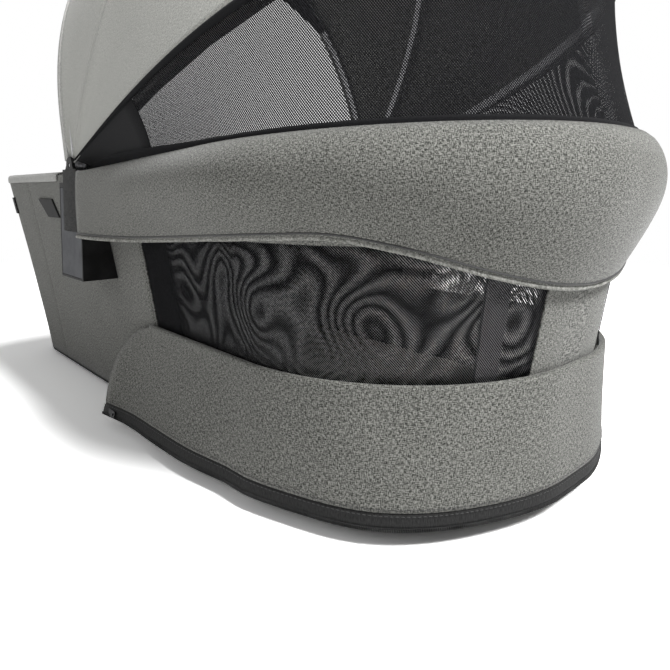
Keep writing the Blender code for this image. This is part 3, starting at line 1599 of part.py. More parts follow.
def make_puller(pin, along, down):
    """A flat tab whose eye turns on the slider's cross pin."""
    neck, half, tip = PULLER_NECK / 2, PULLER_WIDTH / 2, PULLER_LENGTH
    start = BAIL_RADIUS + MESH_GAP * 2
    narrow, broad = (tip * share for share in PULLER_NECK_SHARES)
    outline = [(start, neck), (narrow, neck), (broad, half), (tip - half / 2, half), (tip, half / 2)]
    outline += [(u, -v) for u, v in outline[::-1]]
    hole = arc((tip - half, 0), PULLER_HOLE_RADIUS, 0, 2 * math.pi, 16)[:-1]
    tab = outline_solid(
        "zip_puller",
        [outline, hole],
        PULLER_THICKNESS,
        plane(pin, along, down),
        "zip_metal",
    )
    eye = cylinder("puller eye", pin - down * neck, pin + down * neck, EAR_RADIUS, sides=16)
    bore = cylinder(
        "puller bore", pin - down * half, pin + down * half, BAIL_RADIUS + MESH_GAP, sides=12
    )
    combine(tab, eye, "UNION")
    combine(tab, bore, "DIFFERENCE")
    put_origin(tab, pin)


# Apron and press pads


def make_apron():
    """A crowned sheet over the foot end, with a skirt round the outside of the rim."""
    last = side_column(APRON_HEAD_X)
    places = side_track(LEFT, 0.0, last)
    outset = APRON_GAP + APRON_THICKNESS
    top = RIM_HEIGHT + APRON_GAP + APRON_THICKNESS
    rows = [
        [wall_point(place, RIM_HEIGHT - APRON_SKIRT, outset) for place in places],
        [wall_point(place, RIM_HEIGHT - RIM_ROLL_RADIUS / 2, outset) for place in places],
    ]
    edge = [wall_point(place, RIM_HEIGHT, 0.0) for place in places]
    for point in edge:
        point.z = top
    spine_foot = FOOT_RIM_X + APRON_SPINE_FOOT
    for share in APRON_ROW_SHARES:
        row = []
        for point in edge:
            inner = spine_point(point, spine_foot, APRON_HEAD_X, top)
            lifted = point.lerp(inner, share)
            lifted.z = top + APRON_CROWN * math.sin(math.pi / 2 * share)
            row.append(lifted)
        rows.append(row)
    under = Vector((PAD_FOOT_X, 0, RIM_HEIGHT - APRON_SKIRT))
    apron = surface("apron", rows, "light_fabric", under)
    add_mirror(apron)
    add_solidify(apron, APRON_THICKNESS)


def make_press_pads():
    """Slanted black pads on the cover that the apron and a rain cover hook on to."""
    for name, side in SIDES.items():
        rows = []
        outset = PRESS_PAD_THICKNESS + MESH_GAP
        for height, ends in (
            (PRESS_PAD_BASE, PRESS_PAD_BASE_XS),
            (PRESS_PAD_TOP, PRESS_PAD_TOP_XS),
        ):
            columns = [side_column(blend(ends[0], ends[1], step / 2)) for step in range(3)]
            rows.append([wall_point((side, column), height, outset) for column in columns])
        sheet("press_pad_side_" + name, rows, PRESS_PAD_THICKNESS, "black_plastic")
        columns = [FOOT_CORNER + share for share in PRESS_PAD_CORNER_SHARES]
        rows = [
            [wall_point((side, column), height, outset) for column in columns]
            for height in (PRESS_PAD_BASE, PRESS_PAD_TOP)
        ]
        sheet("press_pad_foot_" + name, rows, PRESS_PAD_THICKNESS, "black_plastic")


clear_scene()
COLLECTIONS = {
    "parts": make_collection("carrycot"),
    "cutters": make_collection("cutters", hidden=True),
}
make_notch_cutters()
make_base_tray()
make_foot_pads()
make_rim_frame()
make_uprights()
make_cover()
make_windows()
make_liner()
make_mattress()
for side_name, side_sign in SIDES.items():
    make_mount_block(side_name, side_sign)
    make_release_plate(side_name, side_sign)
    make_latch(side_name, side_sign)
    make_hinge_pin(side_name, side_sign)
make_bow("rear_bow", 0, REAR_BOW_ANGLE)
make_bow("mid_bow", 1, MID_BOW_ANGLE)
make_bow("front_bow", 2, FRONT_BOW_ANGLE)
make_hood_panel("hood_panel_mid", REAR_BOW_ANGLE, MID_BOW_ANGLE, 0.0, "light_fabric")
make_hood_panel(
    "hood_panel_front", MID_BOW_ANGLE, FRONT_BOW_ANGLE, BOW_WIDTH / 2, "light_fabric"
)
make_rear_section()
make_bow_band()
make_front_piping()
make_visor()
make_handle()
make_valance()
make_end_strips()
make_flap()
make_zip()
make_puller(*make_slider())
make_apron()
make_press_pads()
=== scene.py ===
import bisect
import math

import bpy
import bmesh
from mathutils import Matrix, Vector, noise


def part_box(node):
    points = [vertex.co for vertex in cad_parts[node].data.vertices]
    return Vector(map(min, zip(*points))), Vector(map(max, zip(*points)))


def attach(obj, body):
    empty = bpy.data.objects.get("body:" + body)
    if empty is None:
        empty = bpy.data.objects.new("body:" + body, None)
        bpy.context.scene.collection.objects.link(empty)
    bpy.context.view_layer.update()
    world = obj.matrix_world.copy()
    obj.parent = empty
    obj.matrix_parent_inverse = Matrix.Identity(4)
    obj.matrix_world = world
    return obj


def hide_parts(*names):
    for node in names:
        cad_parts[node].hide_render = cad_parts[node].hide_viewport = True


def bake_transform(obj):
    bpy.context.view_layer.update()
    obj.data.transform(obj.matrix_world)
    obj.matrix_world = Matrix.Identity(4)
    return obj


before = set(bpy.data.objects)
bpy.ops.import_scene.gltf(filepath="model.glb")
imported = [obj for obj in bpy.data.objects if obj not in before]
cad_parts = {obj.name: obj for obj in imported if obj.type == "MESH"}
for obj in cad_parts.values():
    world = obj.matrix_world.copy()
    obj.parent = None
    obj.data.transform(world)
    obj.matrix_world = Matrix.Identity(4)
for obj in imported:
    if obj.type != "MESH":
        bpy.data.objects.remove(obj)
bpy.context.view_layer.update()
scene = bpy.context.scene

# The photographer's place: low, close to the head end on the left, looking along the tub.
# The view is a crop of a wider one, so the picture is shifted below the lens.
# The lens and place are those that put the tub's own outline where the picture has it.
camera_height = 0.2471
camera_place = Vector((0.5917, -0.4370, camera_height))
view_turn = 2.4058
view_pitch = math.radians(4)
lens_pixels = 585.9
picture_size = 670
camera_data = bpy.data.cameras.new("photo_camera")
camera_data.sensor_width = 36.0
camera_data.lens = lens_pixels / picture_size * camera_data.sensor_width
camera_data.shift_y = -0.1549
camera_data.clip_start = 0.01
camera = bpy.data.objects.new("photo_camera", camera_data)
camera.location = camera_place
camera.rotation_euler = (math.pi / 2 - view_pitch, 0, view_turn - math.pi / 2)
scene.collection.objects.link(camera)
scene.camera = camera
scene.view_settings.view_transform = "Standard"

# The studio: a white room with no corners. The world is white where the camera, a gloss
# or a clear layer looks at it, and a plain grey lamp for everything else.
room_light = 0.25


def set_inputs(tree, node, inputs):
    """Each input gets a value, or a link from another node's output."""
    for socket, value in inputs.items():
        if isinstance(value, bpy.types.NodeSocket):
            tree.links.new(value, node.inputs[socket])
        else:
            node.inputs[socket].default_value = value


def add_node(tree, kind, inputs=None, **settings):
    node = tree.nodes.new(kind)
    for key, value in settings.items():
        setattr(node, key, value)
    set_inputs(tree, node, inputs or {})
    return node


def either_shader(tree, share, first, second):
    return add_node(tree, "ShaderNodeMixShader", {"Fac": share, 1: first, 2: second}).outputs[0]


world = bpy.data.worlds.new("studio")
scene.world = world
world.use_nodes = True
tree = world.node_tree
tree.nodes.clear()
ray = add_node(tree, "ShaderNodeLightPath").outputs
seen = {0: ray["Is Camera Ray"], 1: ray["Is Glossy Ray"]}
seen = add_node(tree, "ShaderNodeMath", seen, operation="MAXIMUM").outputs[0]
seen = {0: seen, 1: ray["Is Transmission Ray"]}
seen = add_node(tree, "ShaderNodeMath", seen, operation="MAXIMUM").outputs[0]
white = add_node(tree, "ShaderNodeBackground", {"Color": (1, 1, 1, 1), "Strength": 1.0})
dim = add_node(tree, "ShaderNodeBackground", {"Color": (1, 1, 1, 1), "Strength": room_light})
room = either_shader(tree, seen, dim.outputs[0], white.outputs[0])
add_node(tree, "ShaderNodeOutputWorld", {"Surface": room})

# The floor is matt white paper that runs on into the white of the room, and it keeps the
# tub's shadow near the feet.
floor_reach = 6.0
fade_start, fade_end = 0.75, 1.7
lit_paper, seen_paper = 0.80, 1.9
floor_mesh = bpy.data.meshes.new("floor")
plan = bmesh.new()
bmesh.ops.create_circle(plan, cap_ends=True, segments=96, radius=floor_reach)
plan.to_mesh(floor_mesh)
plan.free()
floor = bpy.data.objects.new("floor", floor_mesh)
scene.collection.objects.link(floor)
paper = bpy.data.materials.new("paper_floor")
paper.use_nodes = True
tree = paper.node_tree
tree.nodes.clear()
place = add_node(tree, "ShaderNodeTexCoord").outputs["Object"]
away = add_node(tree, "ShaderNodeVectorMath", {0: place}, operation="LENGTH").outputs["Value"]
fade = {"Value": away, "From Min": fade_start, "From Max": fade_end}
fade = add_node(tree, "ShaderNodeMapRange", fade, interpolation_type="SMOOTHSTEP")
tone = add_node(tree, "ShaderNodeLightPath").outputs["Is Camera Ray"]
tone = {"Value": tone, "To Min": lit_paper, "To Max": seen_paper}
tone = add_node(tree, "ShaderNodeMapRange", tone, clamp=False).outputs["Result"]
matt = add_node(tree, "ShaderNodeBsdfDiffuse", {"Color": tone})
glow = add_node(tree, "ShaderNodeEmission", {"Color": (1, 1, 1, 1), "Strength": 1.0})
mixed = either_shader(tree, fade.outputs["Result"], matt.outputs[0], glow.outputs[0])
add_node(tree, "ShaderNodeOutputMaterial", {"Surface": mixed})
floor_mesh.materials.append(paper)


# The lamps: a strong one high beyond the head end that lights the hood and the end panel,
# a weaker one overhead, and a wide faint one that opens the near side.
def add_lamp(name, place, aim, size, power):
    data = bpy.data.lights.new(name, "AREA")
    data.shape = "DISK"
    data.size = size
    data.energy = power
    lamp = bpy.data.objects.new(name, data)
    lamp.location = place
    lamp.rotation_euler = (Vector(aim) - Vector(place)).to_track_quat("-Z", "Y").to_euler()
    scene.collection.objects.link(lamp)


add_lamp("key_lamp", (1.62, 0.04, 1.78), (0.2, 0, 0.3), 0.55, 68.0)
add_lamp("top_lamp", (-0.1, 0.20, 2.3), (0.0, 0, 0.1), 0.6, 26.0)
add_lamp("side_lamp", (-0.4, -2.2, 1.3), (0.0, 0, 0.3), 1.2, 8.0)

# The tub's outline. The shell is drawn in by a last that flares from the floor to the rim:
# straight sides, small corners at the foot end and wide ones at the head end.
# A column is a place round the tub, from 0 in the middle of the foot end to 7 at the head.
foot_base_x, head_base_x, base_half_width = -0.395, 0.362, 0.165
foot_rim_x, head_rim_x, rim_half_width = -0.430, 0.411, 0.2125
foot_base_radius, head_base_radius = 0.055, 0.140
foot_rim_radius, head_rim_radius = 0.065, 0.206
rim_level, rim_rise, rim_rise_start, rim_rise_power = 0.266, 0.023, -0.100, 1.4
flare_power = 1.1
side_foot_x, side_head_x = -0.280, 0.195
arc_over_chord = 1.11
rim_roll_radius, rim_roll_width, rim_roll_depth = 0.0042, 0.0168, 0.0165
left, right = -1, 1
head_middle = 7.0


def between(start, end, share):
    return start + (end - start) * share


def eased(value):
    value = max(0.0, min(1.0, value))
    return value * value * (3 - 2 * value)


def smooth_value(stations, place):
    """The value at a place on a smooth curve through (place, value) stations."""
    places = [station[0] for station in stations]
    values = [station[1] for station in stations]
    if place <= places[0]:
        return values[0]
    last = len(places) - 1
    if place >= places[last]:
        return values[last]
    index = max(i for i in range(last) if places[i] <= place)

    def slope(i):
        low, high = max(i - 1, 0), min(i + 1, last)
        return (values[high] - values[low]) / (places[high] - places[low])

    step = places[index + 1] - places[index]
    share = (place - places[index]) / step
    rise = values[index + 1] - values[index]
    start, end = slope(index) * step, slope(index + 1) * step
    bend = start * share * (1 - share) ** 2 - end * (1 - share) * share**2
    return values[index] + rise * eased(share) + bend


def wall_sizes(height):
    share = (max(height, 0.0) / rim_level) ** flare_power
    return (
        between(foot_base_x, foot_rim_x, share),
        between(head_base_x, head_rim_x, share),
        between(base_half_width, rim_half_width, share),
        between(foot_base_radius, foot_rim_radius, share),
        between(head_base_radius, head_rim_radius, share),
    )


def column_at(x):
    return 3 + (x - side_foot_x) / (side_head_x - side_foot_x)


def wall_plan(column, height, outset=0.0):
    foot_x, head_x, half_width, foot_radius, head_radius = wall_sizes(height)
    section = min(int(column), 6)
    share = column - section
    foot_centre = Vector((foot_x + foot_radius, half_width - foot_radius))
    head_centre = Vector((head_x - head_radius, half_width - head_radius))
    if section == 0:
        return Vector((foot_x - outset, foot_centre.y * share))
    if section == 6:
        return Vector((head_x + outset, head_centre.y * (1 - share)))
    if section == 1:
        angle = math.pi - share * math.pi / 2
        reach = foot_radius + outset
        return foot_centre + reach * Vector((math.cos(angle), math.sin(angle)))
    if section == 5:
        angle = (1 - share) * math.pi / 2
        reach = head_radius + outset
        return head_centre + reach * Vector((math.cos(angle), math.sin(angle)))
    ends = {
        2: (foot_centre.x, side_foot_x),
        3: (side_foot_x, side_head_x),
        4: (side_head_x, head_centre.x),
    }
    return Vector((between(*ends[section], share), half_width + outset))


def wall_point(place, height, outset=0.0):
    """A point beside the shell. A place is a side and a column."""
    side, column = place
    plan = wall_plan(column, height, outset)
    return Vector((plan.x, side * plan.y, height))


def rim_height(column):
    x = wall_plan(column, rim_level).x
    share = max(0.0, min(1.0, (x - rim_rise_start) / (head_rim_x - rim_rise_start)))
    return rim_level + rim_rise * share**rim_rise_power


def even_columns(start, end, pitch):
    """Columns about a pitch apart along the rim, with one at each change of curve."""
    found = [start]
    for section in range(7):
        low, high = max(start, section), min(end, section + 1)
        if high <= low:
            continue
        length = (wall_plan(high - 1e-6, rim_level) - wall_plan(low, rim_level)).length
        count = max(1, round(length * (arc_over_chord if section in (1, 5) else 1) / pitch))
        found += [between(low, high, (step + 1) / count) for step in range(count)]
    return found


def round_head(start, pitch):
    """Places from a column on the left, round the head end, to the same on the right."""
    half = even_columns(start, head_middle, pitch)
    return [(left, column) for column in half] + [(right, column) for column in half[-2::-1]]


# The floor tray is one moulding in black plastic with a fine spark-eroded grain, scuffed a
# little here and there. It stands on four rubber feet.
def add_material(name):
    material = bpy.data.materials.new(name)
    material.use_nodes = True
    return material, material.node_tree, material.node_tree.nodes["Principled BSDF"]


def coordinates(tree, source="Object", scale=(1, 1, 1)):
    """The place on the piece, or on its own cloth plan, stretched for a pattern."""
    place = add_node(tree, "ShaderNodeTexCoord").outputs[source]
    return add_node(tree, "ShaderNodeMapping", {"Vector": place, "Scale": scale}).outputs["Vector"]


def add_noise(tree, vector, scale, detail=2.0, roughness=0.5):
    sizes = {"Vector": vector, "Scale": scale, "Detail": detail, "Roughness": roughness}
    return add_node(tree, "ShaderNodeTexNoise", sizes).outputs["Fac"]


def add_ramp(tree, value, stops):
    ramp = add_node(tree, "ShaderNodeValToRGB", {"Fac": value})
    while len(ramp.color_ramp.elements) < len(stops):
        ramp.color_ramp.elements.new(0.5)
    for element, (position, colour) in zip(ramp.color_ramp.elements, stops):
        element.position = position
        element.color = (*colour, 1)
    return ramp.outputs["Color"]


def add_math(tree, operation, *inputs):
    return add_node(tree, "ShaderNodeMath", dict(enumerate(inputs)), operation=operation).outputs[0]


def add_bump(tree, shader, height, distance, strength=1.0):
    sizes = {"Height": height, "Distance": distance, "Strength": strength}
    bump = add_node(tree, "ShaderNodeBump", sizes)
    set_inputs(tree, shader, {"Normal": bump.outputs["Normal"]})


def add_colour(tree, shader, value, dark, light):
    """The base colour runs between two (place, colour) stops of a pattern."""
    set_inputs(tree, shader, {"Base Color": add_ramp(tree, value, (dark, light))})


def add_wear(tree, shader, value, low, high):
    rough = {"Value": value, "To Min": low, "To Max": high}
    rough = add_node(tree, "ShaderNodeMapRange", rough).outputs["Result"]
    set_inputs(tree, shader, {"Roughness": rough})


plastic_grain = 0.00006


def moulded_plastic(name, colour, worn, roughness):
    """Textured plastic: an even grain, and soft scuffs that are paler and duller."""
    material, tree, shader = add_material(name)
    where = coordinates(tree)
    scuff = add_noise(tree, where, 38.0, 5.0, 0.62)
    add_colour(tree, shader, scuff, (0.42, colour), (0.72, worn))
    add_wear(tree, shader, scuff, roughness - 0.05, roughness + 0.12)
    set_inputs(tree, shader, {"Specular IOR Level": 0.12})
    add_bump(tree, shader, add_noise(tree, where, 2600.0, 2.0), plastic_grain)
    return material


def finish_node(name, material):
    """A CAD node whose shape is right gets its real finish."""
    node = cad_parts[name]
    node.data.materials.clear()
    node.data.materials.append(material)


tray_plastic = moulded_plastic("tray_plastic", (0.011, 0.011, 0.012), (0.030, 0.030, 0.031), 0.46)
finish_node("base_tray", tray_plastic)
foot_rubber, tree, shader = add_material("foot_rubber")
where = coordinates(tree)
set_inputs(tree, shader, {"Roughness": 0.86})
dust = add_noise(tree, where, 90.0, 4.0, 0.6)
add_colour(tree, shader, dust, (0.4, (0.010, 0.010, 0.010)), (0.75, (0.045, 0.044, 0.042)))
add_bump(tree, shader, add_noise(tree, where, 900.0, 3.0), 0.00015)
for corner in ("foot_left", "foot_right", "head_left", "head_right"):
    finish_node("foot_pad_" + corner, foot_rubber)

# The rim frame is an aluminium tube bent to the tub's outline, and flat struts stand
# between it and the tray. The hood's three bows are flat strips of the same metal.
def brushed_metal(name, colour, roughness, run=(60.0, 60.0, 2400.0)):
    """Drawn or plated metal: fine lines along its run, and a few dull marks."""
    material, tree, shader = add_material(name)
    lines = add_noise(tree, coordinates(tree, scale=run), 1.0, 3.0, 0.6)
    marks = add_noise(tree, coordinates(tree), 70.0, 4.0, 0.6)
    shade = tuple(0.72 * part for part in colour)
    add_colour(tree, shader, lines, (0.3, shade), (0.7, colour))
    add_wear(tree, shader, marks, roughness - 0.06, roughness + 0.16)
    set_inputs(tree, shader, {"Metallic": 1.0})
    add_bump(tree, shader, lines, 0.00002)
    return material


bare_aluminium = brushed_metal("bare_aluminium", (0.42, 0.42, 0.44), 0.36)
finish_node("rim_frame", bare_aluminium)
bow_aluminium = brushed_metal("bow_aluminium", (0.72, 0.72, 0.74), 0.48)
for name in ("rear_bow", "mid_bow", "front_bow"):
    finish_node(name, bow_aluminium)
strut_plastic = moulded_plastic("strut_plastic", (0.260, 0.260, 0.265), (0.320, 0.320, 0.325), 0.5)
for side in ("left", "right"):
    for number in (1, 2, 3):
        finish_node("upright_%s_%d" % (side, number), strut_plastic)


# The lining is cloth on thin foam, sewn into the tub from the tray's floor up to the rim, with a
# soft crease where wall and floor meet. Its near-black colour is painted shade for the shaded
# inside of the tub; the cloth itself is a soft grey. Behind the windows it is open net.
lining_inset, lining_thickness = 0.0060, 0.0024
window_foot_x, window_base, window_top, window_end = 0.046, 0.110, 0.210, 5.87
window_border = 0.004
tray_floor = 0.0068
narrowest_cloth, fullest_cut, barest_cut = 0.0105, 0.999, 0.301


def run_lengths(points):
    """The length along a line of points, as far as each of them."""
    lengths = [0.0]
    for start, end in zip(points, points[1:]):
        lengths.append(lengths[-1] + (end - start).length)
    return lengths


def grid_mesh(name, rows, skipped=None):
    """A sheet from rows of points, with its cloth plan as a UV map in metres."""
    mesh = bmesh.new()
    grid = [[mesh.verts.new(point) for point in row] for row in rows]
    middle = rows[len(rows) // 2]
    across = run_lengths(middle)
    down = run_lengths([row[len(middle) // 2] for row in rows])
    plan = mesh.loops.layers.uv.new("cloth_plan")
    for r in range(len(rows) - 1):
        for c in range(len(middle) - 1):
            if skipped and skipped(r, c):
                continue
            corners = ((r, c), (r + 1, c), (r + 1, c + 1), (r, c + 1))
            face = mesh.faces.new([grid[i][j] for i, j in corners])
            face.smooth = True
            for loop, (i, j) in zip(face.loops, corners):
                loop[plan].uv = (across[j], -down[i])
    loose = [vert for vert in mesh.verts if not vert.link_faces]
    bmesh.ops.delete(mesh, geom=loose, context="VERTS")
    data = bpy.data.meshes.new(name)
    mesh.to_mesh(data)
    mesh.free()
    return data


def face_away(data, inside):
    """Turns the whole sheet so that its face looks away from a point."""
    normals = sum(face.normal.dot(face.center - inside) * face.area for face in data.polygons)
    if normals < 0:
        data.flip_normals()


def add_piece(data, material):
    piece = bpy.data.objects.new(data.name, data)
    data.materials.append(material)
    scene.collection.objects.link(piece)
    return piece


def add_sheet(name, rows, thickness, material, inside, skipped=None):
    """A cloth sheet with its face on the given points and its thickness behind them."""
    data = grid_mesh(name, rows, skipped)
    face_away(data, inside)
    piece = add_piece(data, material)
    wall = piece.modifiers.new("cloth thickness", "SOLIDIFY")
    wall.thickness = thickness
    wall.offset = -1.0
    wall.use_even_offset = True
    return piece


def waver(point, size, height, seed=0.0):
    """A slow unevenness, as hand-pulled cloth has."""
    return height * noise.noise(point / size + Vector((seed, 2.0 * seed, 0.0)))


def woven_cloth(name, dark, light, thread=0.0008, sheen=0.22, source="UV", contrast=(0.36, 0.66)):
    """Melange cloth: yarns of two greys both ways, in short random runs, with a soft nap."""
    material, tree, shader = add_material(name)
    fine, long = 1.0 / thread, 0.26 / thread
    weft = add_noise(tree, coordinates(tree, source, (long, fine, fine)), 1.0, 2.5, 0.62)
    warp = add_noise(tree, coordinates(tree, source, (fine, long, long)), 1.0, 2.5, 0.62)
    both = add_math(tree, "MULTIPLY", add_math(tree, "ADD", weft, warp), 0.5)
    cloudy = add_noise(tree, coordinates(tree, source), 26.0, 3.0)
    shaded = add_math(tree, "ADD", both, add_math(tree, "MULTIPLY", cloudy, 0.03))
    low, high = contrast
    add_colour(tree, shader, shaded, (low + 0.015, dark), (high + 0.015, light))
    nap = {"Sheen Weight": sheen, "Sheen Roughness": 0.45}
    set_inputs(tree, shader, {"Roughness": 0.92, "Specular IOR Level": 0.18, **nap})
    add_bump(tree, shader, both, 0.00045, 0.85)
    return material


# Painted shade: the lining is coloured near black for the shade inside the tub.
lining_cloth_painted_shade = woven_cloth(
    "lining_cloth_painted_shade", (0.028, 0.028, 0.028), (0.060, 0.060, 0.059), 0.0012
)
places = [(left, column) for column in even_columns(0.0, head_middle, 0.014)]
window_first = column_at(window_foot_x + window_border)
half = sorted({column for _, column in places} | {window_first, window_end})
places = [(left, c) for c in half] + [(right, c) for c in half[-2:0:-1]] + [(left, half[0])]
tube_drop, tube_radius, below_tube = 0.0078, 0.0055, 0.0006
top_drop = tube_drop + tube_radius + below_tube
rows = []
lining_shares = (0.0, 0.08, 0.25, 0.5, 0.75, 1.0)
for share in lining_shares:
    height = between(tray_floor + 0.001, window_base, share)
    tuck = 0.004 * math.exp(-share * 22)
    rows.append([wall_point(place, height, -lining_inset - tuck) for place in places])
for share in (0.34, 0.67, 1.0):
    height = between(window_base, window_top, share)
    rows.append([wall_point(place, height, -lining_inset) for place in places])
rows.append([
    wall_point(place, rim_height(place[1]) - top_drop, -lining_inset) for place in places
])


def behind_window(row, index):
    middle = (places[index][1] + places[index + 1][1]) / 2
    first_row = len(lining_shares) - 1
    return first_row <= row < first_row + 3 and window_first < middle < window_end


inside = Vector((0, 0, 0.15))
lining = add_sheet(
    "lining", rows, lining_thickness, lining_cloth_painted_shade, inside, behind_window
)
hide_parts("liner")
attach(lining, "tub")

# The mattress is a foam pad in a knitted cover, quilted in channels across its width. Its
# foam pushes the cover out between the channels.
# Its cloth is blown up over the CAD pad by a pressure simulation and then held in its case.
mattress_swell_cap, mattress_swell_kept = 0.0016, 0.5
foam_pressure, foam_moments, knit_voxel = 3.0, 12, 0.0075
quilt_step, quilt_count, quilt_start = 0.062, 11, -0.315
quilt_depth, quilt_half_width, facing_up = 0.0022, 0.0045, 0.35


def solid_copy(node, name):
    """A closed copy of a CAD node's mesh with its loose triangles merged."""
    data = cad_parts[node].data.copy()
    data.name = name
    data.materials.clear()
    mesh = bmesh.new()
    mesh.from_mesh(data)
    bmesh.ops.remove_doubles(mesh, verts=mesh.verts, dist=0.00002)
    bmesh.ops.join_triangles(
        mesh,
        faces=mesh.faces,
        angle_face_threshold=math.radians(30),
        angle_shape_threshold=math.radians(50),
    )
    for face in mesh.faces:
        face.smooth = True
    mesh.to_mesh(data)
    mesh.free()
    return data


def plain_cloth(name, dark, light, finish, relief, source="UV", ribs=(1, 1, 1), nap=(1.0, 2.0)):
    """Cloth of one yarn: its ribs or nap as a fine noise in two tones, and their relief."""
    material, tree, shader = add_material(name)
    weave = add_noise(tree, coordinates(tree, source, ribs), *nap)
    add_colour(tree, shader, weave, dark, light)
    kinds = ("Roughness", "Specular IOR Level", "Sheen Weight")
    set_inputs(tree, shader, dict(zip(kinds, finish)))
    add_bump(tree, shader, weave, relief)
    return material


knit = plain_cloth(
    "mattress_knit",
    (0.3, (0.42, 0.42, 0.41)),
    (0.7, (0.58, 0.58, 0.565)),
    (0.95, 0.5, 0.3),
    0.0005,
    "Object",
    (1100, 1600, 900),
)
mattress = add_piece(solid_copy("mattress", "mattress_pad"), knit)
remesh = mattress.modifiers.new("even cloth", "REMESH")
remesh.mode = "VOXEL"
remesh.voxel_size = knit_voxel
remesh.use_smooth_shade = True
graph = bpy.context.evaluated_depsgraph_get()
mattress.data = bpy.data.meshes.new_from_object(mattress.evaluated_get(graph))
mattress.modifiers.clear()
before = [vertex.co.copy() for vertex in mattress.data.vertices]
blown = mattress.modifiers.new("foam pressure", "CLOTH")
blown.settings.use_pressure = True
blown.settings.uniform_pressure_force = foam_pressure
blown.settings.effector_weights.gravity = 0.0
blown.settings.quality = 4
blown.point_cache.frame_start = 1
blown.point_cache.frame_end = foam_moments
for moment in range(1, foam_moments + 1):
    scene.frame_set(moment)
graph = bpy.context.evaluated_depsgraph_get()
swollen = bpy.data.meshes.new_from_object(mattress.evaluated_get(graph))
mattress.modifiers.clear()
scene.frame_set(1)
for vertex, rest, moved in zip(mattress.data.vertices, before, swollen.vertices):
    shift = moved.co - rest
    if shift.length > mattress_swell_cap:
        shift = shift.normalized() * mattress_swell_cap
    vertex.co = rest + shift * mattress_swell_kept
for vertex in mattress.data.vertices:
    if vertex.normal.z > facing_up:
        nearest = min(abs(vertex.co.x - quilt_start - quilt_step * i) for i in range(quilt_count))
        vertex.co.z -= quilt_depth * math.exp(-((nearest / quilt_half_width) ** 2))
mattress.data.materials.clear()
mattress.data.materials.append(knit)
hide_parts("mattress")
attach(mattress, "tub")

# The cover is melange cloth, sewn from a foot panel, two sides and a head panel. It is
# drawn over the rim tube in a roll and hooked under the tray. At each seam it is drawn in.
cover_thickness, cover_hem = 0.0016, 0.0100
seam_half, seam_depth, seam_width = 0.0004, 0.0007, 0.0022
hinge_x, hinge_notch, notch_base = -0.059, 0.016, 0.2545
tub_middle = Vector((0, 0, rim_level / 2))
cover_cloth = woven_cloth(
    "cover_cloth", (0.026, 0.027, 0.023), (0.258, 0.258, 0.239), 0.00070, contrast=(0.43, 0.59)
)


def cover_panel(name, places, seams, nodes, windows=False, notch=False):
    """One panel of the cover, from its hem under the tray to the fold inside the rim."""
    heights = [cover_hem + 0.0205 * step for step in range(4)] + [0.088, 0.105, window_base]
    heights += [0.135, 0.160, 0.185, window_top, 0.232, notch_base, rim_level - rim_roll_radius]
    fixed = len(heights) - 1

    def drawn_in(place):
        nearest = min([abs(wall_plan(place[1], 0.15).x - x) for x in seams] or [1.0])
        return -seam_depth * math.exp(-((nearest / seam_width) ** 2))

    rows = []
    for row, height in enumerate(heights):
        line = []
        for place in places:
            rise = rim_height(place[1]) - rim_level if row == fixed else 0.0
            loose = math.sin(math.pi * min(1.0, height / rim_level))
            inward = drawn_in(place)
            point = wall_point(place, height + rise, inward)
            out = inward + waver(point, 0.09, 0.0006 * loose)
            line.append(wall_point(place, height + rise, out))
        rows.append(line)

    def roll_row(down, out):
        return [wall_point(place, rim_height(place[1]) - down, out) for place in places]

    radius = rim_roll_radius
    for step in range(1, 6):
        turn = math.pi / 2 * step / 5
        rows.append(roll_row(radius * (1 - math.sin(turn)), -radius * (1 - math.cos(turn))))
    for step in range(6):
        turn = math.pi / 2 * step / 5
        out = radius - rim_roll_width - radius * math.sin(turn)
        rows.append(roll_row(radius * (1 - math.cos(turn)), out))
    rows.append(roll_row(rim_roll_depth, -rim_roll_width))

    def left_open(row, index):
        middle = (places[index][1] + places[index + 1][1]) / 2
        if windows and window_first < middle < window_end:
            return heights.index(window_base) <= row < heights.index(window_top)
        beside_hinge = abs(wall_plan(middle, rim_level).x - hinge_x) < hinge_notch
        return notch and beside_hinge and row >= fixed - 1

    panel = add_sheet(
        name, rows, cover_thickness, cover_cloth, tub_middle, left_open
    )
    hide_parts(*nodes)
    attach(panel, "tub")
    return panel


def near_seam(column):
    """Extra columns beside a seam, so that the cloth can be drawn in there."""
    return [column + side * step for side in (-1, 1) for step in (0.002, 0.005, 0.010)]


seam_share, column_pitch = seam_half / (side_head_x - side_foot_x), 0.010
foot_seam, window_column = 3.0, column_at(window_foot_x)


def panel_columns(start, end, seams, others=()):
    """Even columns of a panel, with closer ones beside its seams."""
    close = [column for seam in seams for column in near_seam(seam)]
    even = even_columns(start, end, column_pitch)
    return sorted(set(even) | {column for column in (*close, *others) if start < column < end})


end = foot_seam - seam_share
half = panel_columns(0.0, end, [end])
places = [(left, c) for c in half[::-1]] + [(right, c) for c in half[1:]]
cover_panel("cover_foot_panel", places, [side_foot_x], ["cover_foot"])
beside_hinge = [column_at(hinge_x - hinge_notch), column_at(hinge_x + hinge_notch)]
start, end = foot_seam + seam_share, window_column - seam_share
half = panel_columns(start, end, [start, end], beside_hinge)
for side_name, side in (("left", left), ("right", right)):
    cover_panel(
        "cover_side_panel_" + side_name,
        [(side, column) for column in half],
        [side_foot_x, window_foot_x],
        ["cover_side_" + side_name],
        notch=True,
    )
start = window_column + seam_share
half = panel_columns(start, head_middle, [start], (window_first, window_end))
places = [(left, c) for c in half] + [(right, c) for c in half[-2::-1]]
cover_panel("cover_head_panel", places, [window_foot_x], ["cover_head"], windows=True)


# The windows are two layers of open net, one in the cover and one in the lining, so their
# holes beat against each other. Where cover and net meet, a black strip is sewn inside.
net_lean = 0.72


